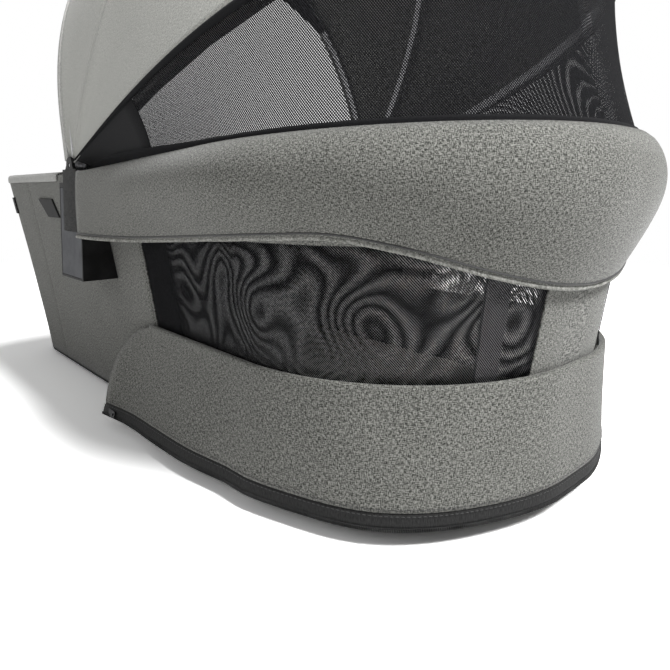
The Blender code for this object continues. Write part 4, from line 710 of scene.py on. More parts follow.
def open_net(name, colour, pitch, openness, slack):
    """Warp-knitted net: threads round rows of small holes, each row half a hole on.

    Slack is how many holes the net is pulled out of line here and there. The threads of
    one slant are thicker than those of the other, by the net's lean.
    """
    material, tree, shader = add_material(name)
    turn = 2 * math.pi
    place = coordinates(tree, "UV", (turn / pitch, turn / (pitch * 1.12), 1))
    pulled = {"Vector": coordinates(tree, "UV"), "Scale": 10.0, "Detail": 1.0}
    pulled = add_node(tree, "ShaderNodeTexNoise", pulled).outputs["Color"]
    bent = {0: pulled, 1: (turn * slack, turn * slack, 0), 2: place}
    bent = add_node(tree, "ShaderNodeVectorMath", bent, operation="MULTIPLY_ADD").outputs["Vector"]
    split = add_node(tree, "ShaderNodeSeparateXYZ", {0: bent}).outputs
    rising = add_math(tree, "COSINE", add_math(tree, "ADD", split["X"], split["Y"]))
    falling = add_math(tree, "COSINE", add_math(tree, "SUBTRACT", split["X"], split["Y"]))
    rising = add_math(tree, "MULTIPLY", rising, net_lean)
    falling = add_math(tree, "MULTIPLY", falling, 1 - net_lean)
    lattice = add_math(tree, "ADD", rising, falling)
    thread = add_math(tree, "LESS_THAN", lattice, openness)
    shine = add_noise(tree, coordinates(tree, "UV"), 420.0, 2.0)
    pale = tuple(2.4 * part for part in colour)
    add_colour(tree, shader, shine, (0.35, colour), (0.7, pale))
    matt = {"Roughness": 0.85, "Specular IOR Level": 0.04, "Sheen Weight": 0.02}
    set_inputs(tree, shader, {"Alpha": thread, **matt})
    add_bump(tree, shader, lattice, -0.0004)
    return material


window_net = open_net("window_net", (0.008, 0.008, 0.009), 0.00185, 0.08, 1.0)
inner_net = open_net("inner_net", (0.34, 0.34, 0.34), 0.00195, 0.0, 15.0)
net_thickness, net_border = 0.00015, 0.0006
for side_name, side in (("left", left), ("right", right)):
    for label, node, inset, cloth, reach in (
        ("window_net_", "vent_mesh_", 0.0008, window_net, -0.002),
        ("lining_net_", "liner_mesh_", 0.0056, inner_net, 0.060),
    ):
        start = column_at(window_foot_x + window_border + net_border)
        half = even_columns(start, window_end + reach, column_pitch)
        rows = []
        for step in range(11):
            height = between(window_top - net_border, window_base + net_border, step / 10)
            rows.append([wall_point((side, column), height, -inset) for column in half])
        net = add_sheet(label + side_name, rows, net_thickness, cloth, tub_middle)
        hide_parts(node + side_name)
        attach(net, "tub")

strip_cloth = plain_cloth(
    "black_binding",
    (0.3, (0.004, 0.004, 0.005)),
    (0.75, (0.018, 0.018, 0.019)),
    (0.82, 0.06, 0.03),
    0.0004,
    ribs=(900, 2400, 1),
)
strip_ends, strip_border, strip_inset = (window_foot_x + 0.005, 0.100), 0.001, -0.0016
for side_name, side in (("left", left), ("right", right)):
    half = [column_at(between(*strip_ends, step / 6)) for step in range(7)]
    rows = []
    for step in range(9):
        height = between(window_top - strip_border, window_base + strip_border, step / 8)
        rows.append([wall_point((side, column), height, strip_inset) for column in half])
    strip = add_sheet(
        "window_strip_" + side_name, rows, 0.0004, strip_cloth, tub_middle
    )
    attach(strip, "tub")

# The mount blocks are black mouldings screwed to the rim tube. Each has a grey release
# plate in a pocket, a latch behind it and a riveted hinge pin through its cheeks.
block_plastic = moulded_plastic("block_plastic", (0.005, 0.005, 0.005), (0.014, 0.014, 0.014), 0.44)
plate_plastic = moulded_plastic("plate_plastic", (0.060, 0.062, 0.068), (0.105, 0.107, 0.114), 0.52)
latch_plastic = moulded_plastic("latch_plastic", (0.020, 0.020, 0.021), (0.050, 0.050, 0.051), 0.34)
pin_steel = brushed_metal("pin_steel", (0.48, 0.48, 0.50), 0.30, (900, 900, 900))
for side_name in ("left", "right"):
    finish_node("mount_block_" + side_name, block_plastic)
    finish_node("release_plate_" + side_name, plate_plastic)
    finish_node("latch_" + side_name, latch_plastic)
    finish_node("hinge_pin_" + side_name, pin_steel)

# The hood's skins hang on three bows that turn on one pin a side. From the rim to the rear
# bow it is black net with a solid gusset beside each hinge.
# From the rear bow to the front edge it is melange cloth in two panels, coloured as a paler copy
# of the cover's cloth: painted light for the bright lighting of the thin panels.
pivot = Vector((hinge_x, 0, 0.2735))
rear_angle, mid_angle, front_angle = math.radians(20), math.radians(60), math.radians(105)
hood_half_width, bow_leg, skin_start, cloth_start = 0.2255, 0.050, 0.026, 0.009
hood_stations = ((rear_angle, 0.465, 2.9), (mid_angle, 0.410, 2.4), (front_angle, 0.356, 2.15))
skin_gap, skin_thickness = 0.0003, 0.0012
hood_middle = Vector((0, 0, rim_level))
hood_turns = 72


def hood_sizes(angle):
    return (
        smooth_value([(a, reach) for a, reach, _ in hood_stations], angle),
        smooth_value([(a, power) for a, _, power in hood_stations], angle),
    )


def at_pivot(across, out, angle):
    return Vector((pivot.x + out * math.cos(angle), -across, pivot.z + out * math.sin(angle)))


def arch_plan(half_width, reach, power, turn):
    across, out = math.cos(turn), math.sin(turn)
    size = (abs(across) ** power + abs(out) ** power) ** (-1 / power)
    return half_width * size * across, reach * size * out


def hood_line(angle, outset=0.0, ahead=0.0, start=skin_start):
    """The skin's arch over one bow, from its left foot to its right."""
    reach, power = hood_sizes(angle)
    half_width = hood_half_width + outset
    plan = [(half_width, between(start, bow_leg, step / 4)) for step in range(4)]
    for step in range(hood_turns + 1):
        turn = math.pi * step / hood_turns
        across, out = arch_plan(half_width, reach + outset - bow_leg, power, turn)
        plan.append((across, bow_leg + out))
    plan += [(-half_width, between(bow_leg, start, (step + 1) / 4)) for step in range(4)]
    shift = ahead * Vector((-math.sin(angle), 0, math.cos(angle)))
    return [at_pivot(across, out, angle) + shift for across, out in plan]


# Painted light: the hood cloth is a paler copy of the cover's melange, for the bright lighting of
# its thin panels.
hood_cloth = woven_cloth(
    "hood_cloth", (0.250, 0.252, 0.234), (0.580, 0.580, 0.545), 0.0008, 0.2, contrast=(0.39, 0.63)
)


def hood_panel(name, start, end, ahead, node):
    """Cloth between two bows, dipping a little between them and drawn tight at the seams."""
    rows = [hood_line(start, 0.0, skin_gap / 2, cloth_start)]
    steps = 22
    for step in range(1, steps):
        share = step / steps
        dip = -0.0030 * math.sin(math.pi * share) ** 0.8
        line = hood_line(between(start, end, share), dip, 0.0, cloth_start)
        loose = math.sin(math.pi * share)
        rows.append([
            point + (point - pivot).normalized() * waver(point, 0.085, 0.0013 * loose, 3.0)
            for point in line
        ])
    rows.append(hood_line(end, 0.0, -skin_gap / 2, cloth_start))
    if ahead:
        rows.append(hood_line(end, 0.0, ahead))
    panel = add_sheet(name, rows, skin_thickness, hood_cloth, pivot)
    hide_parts(node)
    ends = [at_pivot(0, hood_sizes(angle)[0], angle) for angle in (start, end)]
    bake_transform(panel)
    return panel


hood_panel("hood_cloth_mid", rear_angle, mid_angle, 0.0, "hood_panel_mid")
hood_panel("hood_cloth_front", mid_angle, front_angle, 0.0060, "hood_panel_front")


def spread(points, shares):
    """Points at shares of the length along a line of points."""
    lengths = run_lengths(points)
    found = []
    for share in shares:
        target = share * lengths[-1]
        index = min(max(bisect.bisect_right(lengths, target) - 1, 0), len(points) - 2)
        local = (target - lengths[index]) / (lengths[index + 1] - lengths[index])
        found.append(points[index].lerp(points[index + 1], local))
    return found


def shares_of(points):
    lengths = run_lengths(points)
    return [length / lengths[-1] for length in lengths]


rear_bulge, gusset_foot_x, gusset_head_x, gusset_start = -0.005, -0.042, 0.106, 0.014
rear_reach = hood_sizes(rear_angle)[0]
rear_depth = rear_reach * math.sin(rear_angle)


def rear_rows(shares, lift=0.0):
    """Rows of the rear skin, from the seam at the rim to the rear bow."""
    arch = hood_line(rear_angle, 0.0, -skin_gap / 2, gusset_start)
    rim_line = [
        wall_point(place, rim_height(place[1]), -rim_roll_radius) + Vector((0, 0, 0.0004))
        for place in round_head(column_at(gusset_foot_x), 0.006)
    ]
    seam = spread(rim_line, shares_of(arch))
    rows = []
    for share in shares:
        line = []
        for low, high in zip(seam, arch):
            point = low.lerp(high, share)
            away = (point - hood_middle).normalized()
            line.append(point + away * (4 * rear_bulge * share * (1 - share) + lift))
        rows.append(line)
    return rows


hood_net = open_net("hood_net", (0.008, 0.008, 0.009), 0.00195, 0.46, 1.0)
gusset_cloth = plain_cloth(
    "gusset_cloth",
    (0.3, (0.009, 0.009, 0.010)),
    (0.75, (0.026, 0.026, 0.027)),
    (0.78, 0.10, 0.04),
    0.0003,
    ribs=(1500, 1500, 1),
)
rows = rear_rows([step / 16 for step in range(17)])
edge = max(i for i, point in enumerate(rows[0]) if point.x < gusset_head_x and point.y < 0)
last = len(rows[0]) - 1
net_rows = [row[edge : last - edge + 1] for row in rows]
net = add_sheet("hood_net_cloth", net_rows, net_thickness, hood_net, hood_middle)
corner_x, corner_y = wall_plan(5.0, rim_level).x, rim_half_width - head_rim_radius
cloth_plan = net.data.uv_layers[0].data
for loop in net.data.loops:
    point = net.data.vertices[loop.vertex_index].co
    turn = math.atan2(max(point.x - corner_x, 0.0), max(abs(point.y) - corner_y, 1e-6))
    cloth_plan[loop.index].uv = (min(point.x, corner_x) + head_rim_radius * turn, point.z)
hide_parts("hood_mesh")
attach(net, "tub")
for side_name, first, final in (("left", 0, edge), ("right", last - edge, last)):
    gusset_rows = [row[first : final + 1] for row in rows]
    name = "hood_gusset_cloth_" + side_name
    gusset = add_sheet(name, gusset_rows, 0.0008, gusset_cloth, hood_middle)
    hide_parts("hood_gusset_" + side_name)
    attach(gusset, "tub")
seam_row, bow_row = rear_rows((0.0, 1.0), 0.0014)
band_rows = []
for depth in (0.001, 0.005, 0.009, 0.0125):
    line = []
    for low, high in zip(seam_row, bow_row):
        narrowed = depth * between(1.0, 0.62, eased((low.x - 0.05) / 0.20))
        line.append(low.lerp(high, min(0.35, narrowed / (high - low).length)))
    band_rows.append(line)
band = add_sheet("hood_rim_band", band_rows, 0.0008, strip_cloth, hood_middle)
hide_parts("hood_seam_band")
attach(band, "tub")
band_behind, band_ahead = 0.0075, 0.0040
behind = band_behind / rear_depth
band_rows = rear_rows((1 - behind, 1 - 0.5 * behind, 1.0), 0.0018)
for share in (0.5, 1.0):
    ahead = rear_angle + share * band_ahead / rear_reach
    band_rows.append(hood_line(ahead, 0.0016, 0.0, gusset_start))
band = add_sheet("rear_bow_binding", band_rows, 0.0008, strip_cloth, hood_middle)
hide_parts("rear_bow_band")
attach(band, "tub")
sleeve_inset, sleeve_half, sleeve_deep = 0.0022, 0.0058, 0.0060
arch = hood_line(rear_angle, start=gusset_start)
sleeve_first = next(i for i, point in enumerate(arch) if point.x > gusset_head_x - 0.020)
sleeve_rows = []
for step in range(13):
    turn = 2 * math.pi * step / 12
    into_hood = sleeve_inset + sleeve_deep / 2 * (1 - math.sin(turn))
    line = hood_line(rear_angle, -into_hood, sleeve_half * math.cos(turn), gusset_start)
    sleeve_rows.append(line[sleeve_first:-sleeve_first])
# Painted light: the sleeve is coloured pale so that the rear bow, which lies in shade behind the
# net, reads light.
sleeve_cloth_painted_light = woven_cloth("sleeve_cloth_painted_light", (0.42, 0.42, 0.41), (0.62, 0.62, 0.60), 0.0007, 0.1)
sleeve = add_sheet("rear_bow_sleeve", sleeve_rows, 0.0003, sleeve_cloth_painted_light, pivot)
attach(sleeve, "tub")

# The hood's front edge is bound with two runs of cord under pale cloth, and a black visor
# slides out from under the front bow. Every seam of the hood is stitched beside its edge.
def line_object(name, lines, tilt=0.0):
    """A linked curve object along lines of points."""
    curve = bpy.data.curves.new(name, "CURVE")
    curve.dimensions = "3D"
    for points in lines:
        spline = curve.splines.new("POLY")
        spline.points.add(len(points) - 1)
        for spot, point in zip(spline.points, points):
            spot.co = (*point, 1)
            spot.tilt = tilt
    holder = bpy.data.objects.new(name, curve)
    scene.collection.objects.link(holder)
    return holder


def made_real(holder, name):
    """The plain mesh that a curve object stands for. The curve goes."""
    graph = bpy.context.evaluated_depsgraph_get()
    data = bpy.data.meshes.new_from_object(holder.evaluated_get(graph))
    data.name = name
    bpy.data.curves.remove(holder.data)
    return data


def curve_mesh(name, lines, radius, sides=3):
    """Round cords along lines of points, as one closed mesh with its length as a UV map."""
    holder = line_object(name, lines)
    curve = holder.data
    curve.bevel_depth = radius
    curve.bevel_resolution = sides
    curve.use_fill_caps = True
    for spline in curve.splines:
        spline.use_smooth = True
    data = made_real(holder, name)
    mesh = bmesh.new()
    mesh.from_mesh(data)
    bmesh.ops.recalc_face_normals(mesh, faces=mesh.faces)
    mesh.to_mesh(data)
    mesh.free()
    return data


def row_tree(name, shape):
    """A node tree that lays copies of a small shape along a line at an even pitch."""
    tree = bpy.data.node_groups.new(name, "GeometryNodeTree")
    face = tree.interface
    face.new_socket("Geometry", in_out="INPUT", socket_type="NodeSocketGeometry")
    sizes = {}
    defaults = {"Pitch": 0.004, "Length": 0.003, "Width": 0.0007, "Height": 0.0004}
    for label, value in defaults.items():
        socket = face.new_socket(label, in_out="INPUT", socket_type="NodeSocketFloat")
        socket.default_value = value
        sizes[label] = socket.identifier
    finish = face.new_socket("Material", in_out="INPUT", socket_type="NodeSocketMaterial")
    sizes["Material"] = finish.identifier
    face.new_socket("Geometry", in_out="OUTPUT", socket_type="NodeSocketGeometry")
    given = add_node(tree, "NodeGroupInput").outputs
    spots = {"Curve": given["Geometry"], "Length": given["Pitch"]}
    spots = add_node(tree, "GeometryNodeCurveToPoints", spots, mode="LENGTH").outputs
    size = {"X": given["Height"], "Y": given["Width"], "Z": given["Length"]}
    size = add_node(tree, "ShaderNodeCombineXYZ", size).outputs["Vector"]
    if shape == "thread":
        ball = {"Segments": 6, "Rings": 4, "Radius": 0.5}
        solid = add_node(tree, "GeometryNodeMeshUVSphere", ball).outputs["Mesh"]
    else:
        solid = add_node(tree, "GeometryNodeMeshCube").outputs["Mesh"]
    copies = {"Points": spots["Points"], "Rotation": spots["Rotation"]}
    copies |= {"Instance": solid, "Scale": size}
    copies = add_node(tree, "GeometryNodeInstanceOnPoints", copies).outputs["Instances"]
    real = add_node(tree, "GeometryNodeRealizeInstances", {"Geometry": copies}).outputs["Geometry"]
    painted = {"Geometry": real, "Material": given["Material"]}
    painted = add_node(tree, "GeometryNodeSetMaterial", painted).outputs["Geometry"]
    add_node(tree, "NodeGroupOutput", {"Geometry": painted})
    return tree, sizes


def lay_row(name, lines, kind, size, material, twist=0.0):
    """Stitches or teeth of a pitch, length, width and height along lines, as one mesh."""
    tree, sizes = kind
    holder = line_object(name, lines, twist)
    holder.data.twist_mode = "Z_UP"
    laid = holder.modifiers.new("row", "NODES")
    laid.node_group = tree
    for label, value in zip(("Pitch", "Length", "Width", "Height", "Material"), (*size, material)):
        laid[sizes[label]] = value
    data = made_real(holder, name)
    data.materials.clear()
    data.shade_smooth()
    return add_piece(data, material)


thread_row = row_tree("thread_row", "thread")
tooth_row = row_tree("tooth_row", "block")


def twisted_thread(name, dark, light, roughness):
    material, tree, shader = add_material(name)
    twist = add_noise(tree, coordinates(tree), 3000.0, 2.0)
    add_colour(tree, shader, twist, (0.3, dark), (0.7, light))
    set_inputs(tree, shader, {"Roughness": roughness})
    return material


pale_thread = twisted_thread("pale_thread", (0.30, 0.30, 0.285), (0.50, 0.50, 0.48), 0.6)
dark_thread = twisted_thread("dark_thread", (0.012, 0.012, 0.012), (0.050, 0.050, 0.050), 0.5)
hood_stitch = (0.0042, 0.0031, 0.0006, 0.0005)
cord_radius, cord_step, cord_ahead = 0.0021, 2.2, 0.0062
cord_lines = []
for number in (0, 1):
    ahead = cord_ahead + cord_radius * (1 + cord_step * number)
    cord_lines.append(hood_line(front_angle, -0.4 * cord_radius, ahead, cloth_start))
hood_cord = woven_cloth(
    "hood_cord_cloth", (0.36, 0.36, 0.345), (0.60, 0.60, 0.58), 0.0009, 0.3, "Object"
)
cords = curve_mesh("hood_front_cords", cord_lines, cord_radius)
front_cord = add_piece(cords, hood_cord)
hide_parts("front_piping")
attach(front_cord, "front_hood")
front_stitch_ahead, mid_stitch_aside, rear_stitch_ahead = 0.0020, 0.0042, 0.0125
mid_lines = [hood_line(mid_angle, 0.0005, side * mid_stitch_aside) for side in (-1, 1)]
for label, lines, body in (
    ("front", [hood_line(front_angle, 0.0004, front_stitch_ahead)], "front_hood"),
    ("mid", mid_lines, "mid_hood"),
    ("rear", [hood_line(rear_angle + rear_stitch_ahead / rear_reach, 0.0004)], "tub"),
):
    name = "hood_" + label + "_stitches"
    stitches = lay_row(name, lines, thread_row, hood_stitch, pale_thread)
    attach(stitches, body)

visor_reach, visor_thickness, visor_start = 0.058, 0.0014, 0.20
bow_inset, bow_depth, visor_gap, bow_width = 0.0030, 0.0042, 0.0009, 0.0090
visor_inset = bow_inset + bow_depth + visor_gap
reach, power = hood_sizes(front_angle)
half_width, out_reach = hood_half_width - visor_inset, reach - visor_inset - bow_leg
rows = []
visor_steps, visor_rows, visor_hem_radius = 56, 12, 0.0011
for row in range(visor_rows + 1):
    line = []
    for step in range(visor_steps + 1):
        share = between(visor_start, 1 - visor_start, step / visor_steps)
        across, out = arch_plan(half_width, out_reach, power, math.pi * share)
        crescent = math.sin(math.pi * step / visor_steps) ** 0.6
        depth = between(bow_width, visor_reach, crescent)
        angle = front_angle + (row / visor_rows * depth - bow_width / 2) / reach
        line.append(at_pivot(across, bow_leg + out, angle))
    rows.append(line)
visor = add_sheet("visor_cloth", rows, visor_thickness, gusset_cloth, pivot)
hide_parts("visor")
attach(visor, "sun_visor")
hem = curve_mesh("visor_hem", [rows[-1]], visor_hem_radius)
visor_hem = add_piece(hem, strip_cloth)
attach(visor_hem, "sun_visor")

# The carry handle is a plastic core in a sleeve of black leatherette, which is sewn up
# along its underside and turned in at its two ends.
handle_plastic = moulded_plastic(
    "handle_plastic", (0.010, 0.010, 0.011), (0.028, 0.028, 0.028), 0.4
)
finish_node("carry_handle", handle_plastic)
hide, tree, shader = add_material("sleeve_leatherette")
where = coordinates(tree)
cells = {"Vector": where, "Scale": 620.0}
cells = add_node(tree, "ShaderNodeTexVoronoi", cells, feature="DISTANCE_TO_EDGE").outputs
worn = add_noise(tree, where, 60.0, 4.0)
add_colour(tree, shader, worn, (0.35, (0.016, 0.014, 0.013)), (0.75, (0.034, 0.031, 0.029)))
set_inputs(tree, shader, {"Roughness": 0.48})
add_bump(tree, shader, cells["Distance"], 0.00018)
handle_rise, handle_radius, handle_lift = 0.024, 0.0065, 0.0006
half_turn, sleeve_wall, sleeve_half = math.radians(20.8), 0.0030, 0.052
reach, power = hood_sizes(mid_angle)
handle_line = []
for step in range(65):
    share = 2 * step / 64 - 1
    turn = math.pi / 2 + share * half_turn
    across, out = arch_plan(hood_half_width, reach - bow_leg, power, turn)
    rise = handle_rise * (1 - abs(share) ** 4)
    out = out + bow_leg + handle_radius + handle_lift + rise
    handle_line.append(at_pivot(across, out, mid_angle))
sleeve_line = [point for point in handle_line if abs(point.y) <= sleeve_half]
sleeve_radius = handle_radius + sleeve_wall
sleeve = curve_mesh("handle_sleeve", [sleeve_line], sleeve_radius - 0.0004, 6)
sleeve = add_piece(sleeve, hide)
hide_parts("handle_grip")
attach(sleeve, "mid_hood")
hems = []
for end, inner in ((0, 2), (-1, -3)):
    hems.append([sleeve_line[end].lerp(sleeve_line[inner], share) for share in (0.15, 0.5, 0.85)])
hems = curve_mesh("handle_sleeve_hems", hems, sleeve_radius, 6)
sleeve_hems = add_piece(hems, hide)
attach(sleeve_hems, "mid_hood")
under = [point - (point - pivot).normalized() * sleeve_radius for point in sleeve_line[2:-2]]
stitch = (0.0045, 0.0034, 0.0007, 0.0007)
stitches = lay_row("handle_stitches", [under], thread_row, stitch, dark_thread)
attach(stitches, "mid_hood")

# The valance is a deep flounce of the cover's cloth, sewn in with the hood's net at the
# rim. It bulges over the windows, dips round the head end and ends in a corded hem.
valance_foot_x, valance_free_x, valance_settled_x = -0.0330, -0.0240, 0.120
valance_thickness, seam_drop, seam_lift, hang_gap, hem_gap = 0.0016, 0.0010, 0.0045, 0.0006, 0.0032
valance_bulge, end_bulge, peak_power = 0.0200, 0.0012, 0.72
hem_low, hem_high, block_face = 0.173, 0.214, 0.2275
hem_stations = (
    (valance_foot_x, 0.62), (0.060, 0.64), (0.140, 0.76), (0.205, 0.88), (0.262, 0.97),
    (0.312, 1.0), (0.362, 0.80), (0.422, 0.42), (0.475, 0.16), (0.529, 0.03), (0.562, 0.03),
)


def rim_run(column):
    """How far round the rim a column is, measured from beside the middle of the tub."""
    _, head_x, half_width, _, corner = wall_sizes(rim_level)
    turned = max(0.0, min(1.0, column - 5)) * corner * math.pi / 2
    beyond = max(0.0, column - 6) * (half_width - corner)
    return wall_plan(min(column, 5.0), rim_level).x + turned + beyond


def valance_point(place, share, outset=0.0):
    """A point of the valance's face, at a share of the way from its seam to its hem."""
    column = place[1]
    hem = between(hem_low, hem_high, smooth_value(hem_stations, rim_run(column)))
    x = wall_plan(column, rim_level).x
    settled = eased((x - valance_free_x) / (valance_settled_x - valance_free_x))
    height = between(rim_height(column) - seam_drop + seam_lift * settled, hem, share)
    on_block = block_face + 0.0004 - wall_sizes(height)[2]
    hanging = between(hang_gap, hem_gap, share)
    swell = between(end_bulge, valance_bulge, settled) * math.sin(math.pi * share**peak_power)
    out = between(on_block, hanging, settled) + swell + valance_thickness + outset
    loose = settled * math.sin(math.pi * share)
    out += waver(wall_point(place, height), 0.075, 0.0016 * loose, 7.0)
    return wall_point(place, height, out)


places = round_head(column_at(valance_foot_x), 0.007)
rows = [[valance_point(place, step / 28) for place in places] for step in range(29)]
valance = add_sheet(
    "valance_cloth", rows, valance_thickness, cover_cloth, tub_middle
)
hem_cord_radius, hem_turn = 0.0019, 0.0044
hem_line = [valance_point(place, 1.0, 0.0002) + Vector((0, 0, 0.0012)) for place in places]
cord_tones = (0.110, 0.111, 0.100), (0.360, 0.360, 0.335)
cord_cloth = woven_cloth("cord_cloth", *cord_tones, 0.0010, 0.1, "Object", (0.41, 0.61))
hem_cord = curve_mesh("valance_hem_cord", [hem_line], hem_cord_radius)
hem_cord = add_piece(hem_cord, cord_cloth)
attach(hem_cord, "tub")
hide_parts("valance")
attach(valance, "tub")


def beside_hem(place):
    deep = (valance_point(place, 0.0) - valance_point(place, 1.0)).length
    return valance_point(place, 1 - hem_turn / deep, 0.0003)


# Painted shade: a thin dark cord just above the hem cord stands for the shade of the groove where
# the cloth is pinched in behind the hem; the stitches run along the same line.
line = [beside_hem(place) for place in places]
hem_shade_cord = add_piece(curve_mesh("valance_hem_shade_cord", [line], 0.0008), dark_thread)
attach(hem_shade_cord, "tub")
stitch = (0.0030, 0.0027, 0.0009, 0.0008)
stitches = lay_row(
    "valance_stitches", [line], thread_row, stitch, dark_thread, math.pi / 2
)
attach(stitches, "tub")
strip_foot_x, strip_base, strip_top, strip_thickness = -0.0740, 0.204, 0.2690, 0.0015
felt = plain_cloth(
    "end_strip_felt",
    (0.40, (0.006, 0.006, 0.006)),
    (0.70, (0.090, 0.090, 0.088)),
    (0.96, 0.08, 0.12),
    0.0012,
    "Object",
    nap=(900.0, 4.0, 0.7),
)
for side_name, side in (("left", left), ("right", right)):
    rows = []
    for row in range(41):
        line = []
        for step in range(21):
            x = between(strip_foot_x, valance_foot_x - 0.0004, step / 20)
            z = between(strip_base, strip_top, row / 40)
            rag = 0.0009 * noise.noise(Vector((x, 0, z)) / 0.0018)
            side_fray = rag if step in (0, 20) else 0.0
            fold = 0.0010 * math.sin(math.pi * step / 20)
            out = block_face + 0.0003 + strip_thickness + fold + abs(rag)
            line.append(Vector((x + side_fray, side * out, z)))
        rows.append(line)
    strip = add_sheet(
        "valance_end_" + side_name, rows, strip_thickness, felt, tub_middle
    )
    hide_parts("valance_strip_" + side_name)
    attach(strip, "tub")

# The vent flap is a double layer of the cover's cloth, sewn on below the windows, with one
# half of a coil zip along its free edge. It is unzipped and hangs folded down.
flap_thickness, flap_fold, flap_roll, sewn_depth = 0.0024, 0.111, 0.0040, 0.0060
side_edge, head_edge, flap_top_x, flap_edge_x, flap_turn_x = 0.0270, 0.0265, 0.044, -0.0110, 0.010
end_fullness = 0.0130
flare_rise = 1.15
flare_stations = (
    (flap_edge_x, 0.0385), (0.035, 0.0315), (0.090, 0.0300), (0.145, 0.0280), (0.200, 0.0205),
    (0.262, 0.0144), (0.340, 0.0160), (0.450, 0.0120), (0.535, 0.0155),
)


def flap_drop(column):
    turned = eased((rim_run(column) - flap_turn_x) / (side_head_x - flap_turn_x))
    return flap_fold - between(side_edge, head_edge, turned)


def flap_point(place, share, outset=0.0):
    """A point of the flap's face, at a share of the way from its fold to its edge."""
    side, column = place
    top, edge = column_at(flap_top_x), column_at(flap_edge_x)
    held = max(0.0, min(1.0, share))
    drawn = (edge - top) * math.sqrt(1 - (1 - held) ** 2)
    drawn += (column_at(flap_edge_x - end_fullness) - edge) * math.sin(math.pi * held)
    column += drawn * max(0.0, min(1.0, (4.0 - column) / (4.0 - top)))
    height = flap_fold - share * flap_drop(column)
    flare = smooth_value(flare_stations, rim_run(column)) * max(share, 0.0) ** flare_rise
    loose = max(0.0, math.sin(math.pi * min(share, 1.0)))
    ripple = waver(wall_point((side, column), height), 0.08, 0.0014 * loose, 11.0)
    out = flap_roll + flap_thickness + flare + outset + abs(ripple)
    return wall_point((side, column), height, out)


places = round_head(column_at(flap_top_x), 0.007)
width = flap_roll + flap_thickness
sewn_gap = 0.0003
rows = [
    [wall_point(place, flap_fold - depth, sewn_gap) for place in places]
    for depth in (sewn_depth, sewn_depth / 2)
]
for step in range(9):
    turn = math.pi * step / 8
    height = flap_fold + width / 2 * math.sin(turn)
    out = sewn_gap + (width - sewn_gap) * (1 - math.cos(turn)) / 2
    rows.append([wall_point(place, height, out) for place in places])
rows += [[flap_point(place, step / 24) for place in places] for step in range(1, 25)]
flap = add_sheet("vent_flap_cloth", rows, flap_thickness, cover_cloth, tub_middle)
zip_cloth = plain_cloth(
    "zip_tape_weave",
    (0.3, (0.010, 0.010, 0.010)),
    (0.75, (0.034, 0.034, 0.034)),
    (0.75, 0.15, 0.06),
    0.0004,
    ribs=(1600, 260, 1),
)
tape_end_width, tape_full_width, tape_full_run = 0.0070, 0.0100, 0.120
tape_thickness, tape_start = 0.0010, 0.0004
chain_width, chain_thickness = 0.0026, 0.0022
tooth_pitch, tooth_length, zip_cord_radius = 0.0016, 0.0010, 0.00075


def beyond_edge(place, distance, outset, tapes=0.0):
    """A point beyond the flap's edge, by a distance and a number of widths of its tape."""
    eased_run = eased((rim_run(place[1]) - flap_edge_x) / (tape_full_run - flap_edge_x))
    distance += tapes * between(tape_end_width, tape_full_width, eased_run)
    return flap_point(place, 1 + distance / flap_drop(place[1]), outset - flap_thickness / 2)


tape_rows = [
    [beyond_edge(place, tape_start, tape_thickness / 2, step / 5) for place in places]
    for step in range(6)
]
tape = add_sheet(
    "zip_tape_cloth", tape_rows, tape_thickness, zip_cloth, tub_middle
)
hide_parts("zip_tape")
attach(tape, "tub")
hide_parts("vent_flap")
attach(flap, "tub")
coil_plastic = moulded_plastic(
    "coil_plastic", (0.010, 0.010, 0.010), (0.040, 0.040, 0.040), 0.36
)
chain_middle = tape_start + 0.0004 + chain_width / 2
tooth_line = [beyond_edge(place, chain_middle, 0.0, 1.0) for place in places]
tooth_size = (tooth_pitch, tooth_length, chain_width, chain_thickness)
teeth = lay_row("zip_teeth", [tooth_line], tooth_row, tooth_size, coil_plastic)
core = [beyond_edge(place, tape_start + 0.0007, 0.0, 1.0) for place in places]
zip_core = curve_mesh("zip_cord", [core], zip_cord_radius)
zip_core = add_piece(zip_core, zip_cloth)
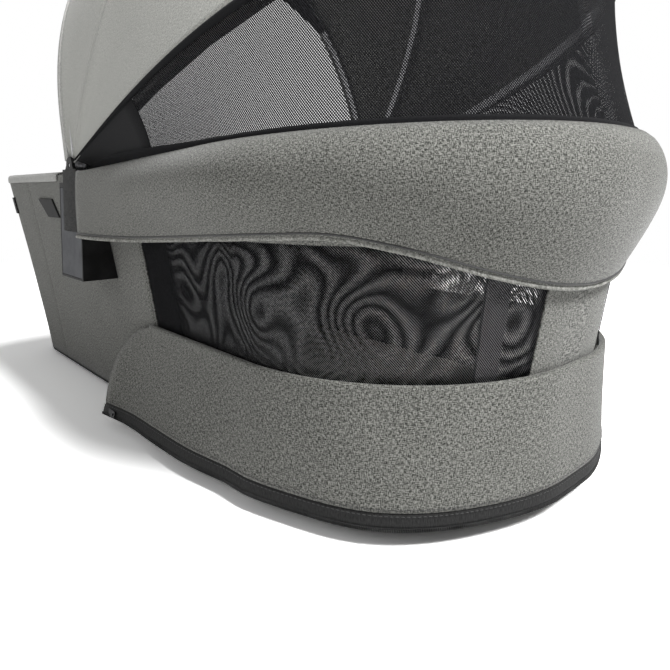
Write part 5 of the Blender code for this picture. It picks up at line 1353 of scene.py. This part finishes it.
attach(zip_core, "tub")
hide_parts("zip_chain")
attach(teeth, "tub")
stitch = (0.0038, 0.0028, 0.0006, 0.0005)
for label, distance in (("edge", -0.0022), ("tape", tape_start + 0.0018)):
    line = [beyond_edge(place, distance, flap_thickness / 2 + 0.0003) for place in places]
    name = "flap_" + label + "_stitches"
    stitches = lay_row(name, [line], thread_row, stitch, dark_thread)
    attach(stitches, "tub")
enamel = brushed_metal("slider_enamel", (0.045, 0.045, 0.047), 0.34, (500, 500, 500))
for name in ("zip_slider", "zip_puller"):
    finish_node(name, enamel)

# The apron closes the foot half of the tub: pale cloth with a crown of thin wadding, and a
# skirt that is drawn over the rim. It hooks on to four black pads on the cover.
crease_angle, crease_strength, smooth_levels, apron_hem = math.radians(40), 0.8, 2, 0.03


def creased_copy(node, name):
    """A CAD solid's copy whose sharper edges stay sharp when its form is made smooth."""
    data = solid_copy(node, name)
    mesh = bmesh.new()
    mesh.from_mesh(data)
    crease = mesh.edges.layers.float.get("crease_edge")
    crease = crease or mesh.edges.layers.float.new("crease_edge")
    for edge in mesh.edges:
        if len(edge.link_faces) == 2 and edge.calc_face_angle() > crease_angle:
            edge[crease] = crease_strength
    mesh.to_mesh(data)
    mesh.free()
    return data


apron_cloth = woven_cloth(
    "apron_cloth", (0.26, 0.26, 0.248), (0.47, 0.47, 0.45), 0.0009, 0.3, "Object"
)
apron = add_piece(creased_copy("apron", "apron_cloth_cover"), apron_cloth)
smooth = apron.modifiers.new("soft form", "SUBSURF")
smooth.levels = smooth.render_levels = smooth_levels
area = sum(face.area for face in apron.data.polygons) / 2
low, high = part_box("apron")
width, depth = (high.x - low.x + apron_hem, high.y - low.y + apron_hem)
area = min(area, fullest_cut * width * depth)
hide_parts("apron")
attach(apron, "tub")
pad_rubber = moulded_plastic("pad_rubber", (0.012, 0.012, 0.012), (0.030, 0.030, 0.030), 0.55)
for place_name in ("side_left", "side_right", "foot_left", "foot_right"):
    finish_node("press_pad_" + place_name, pad_rubber)
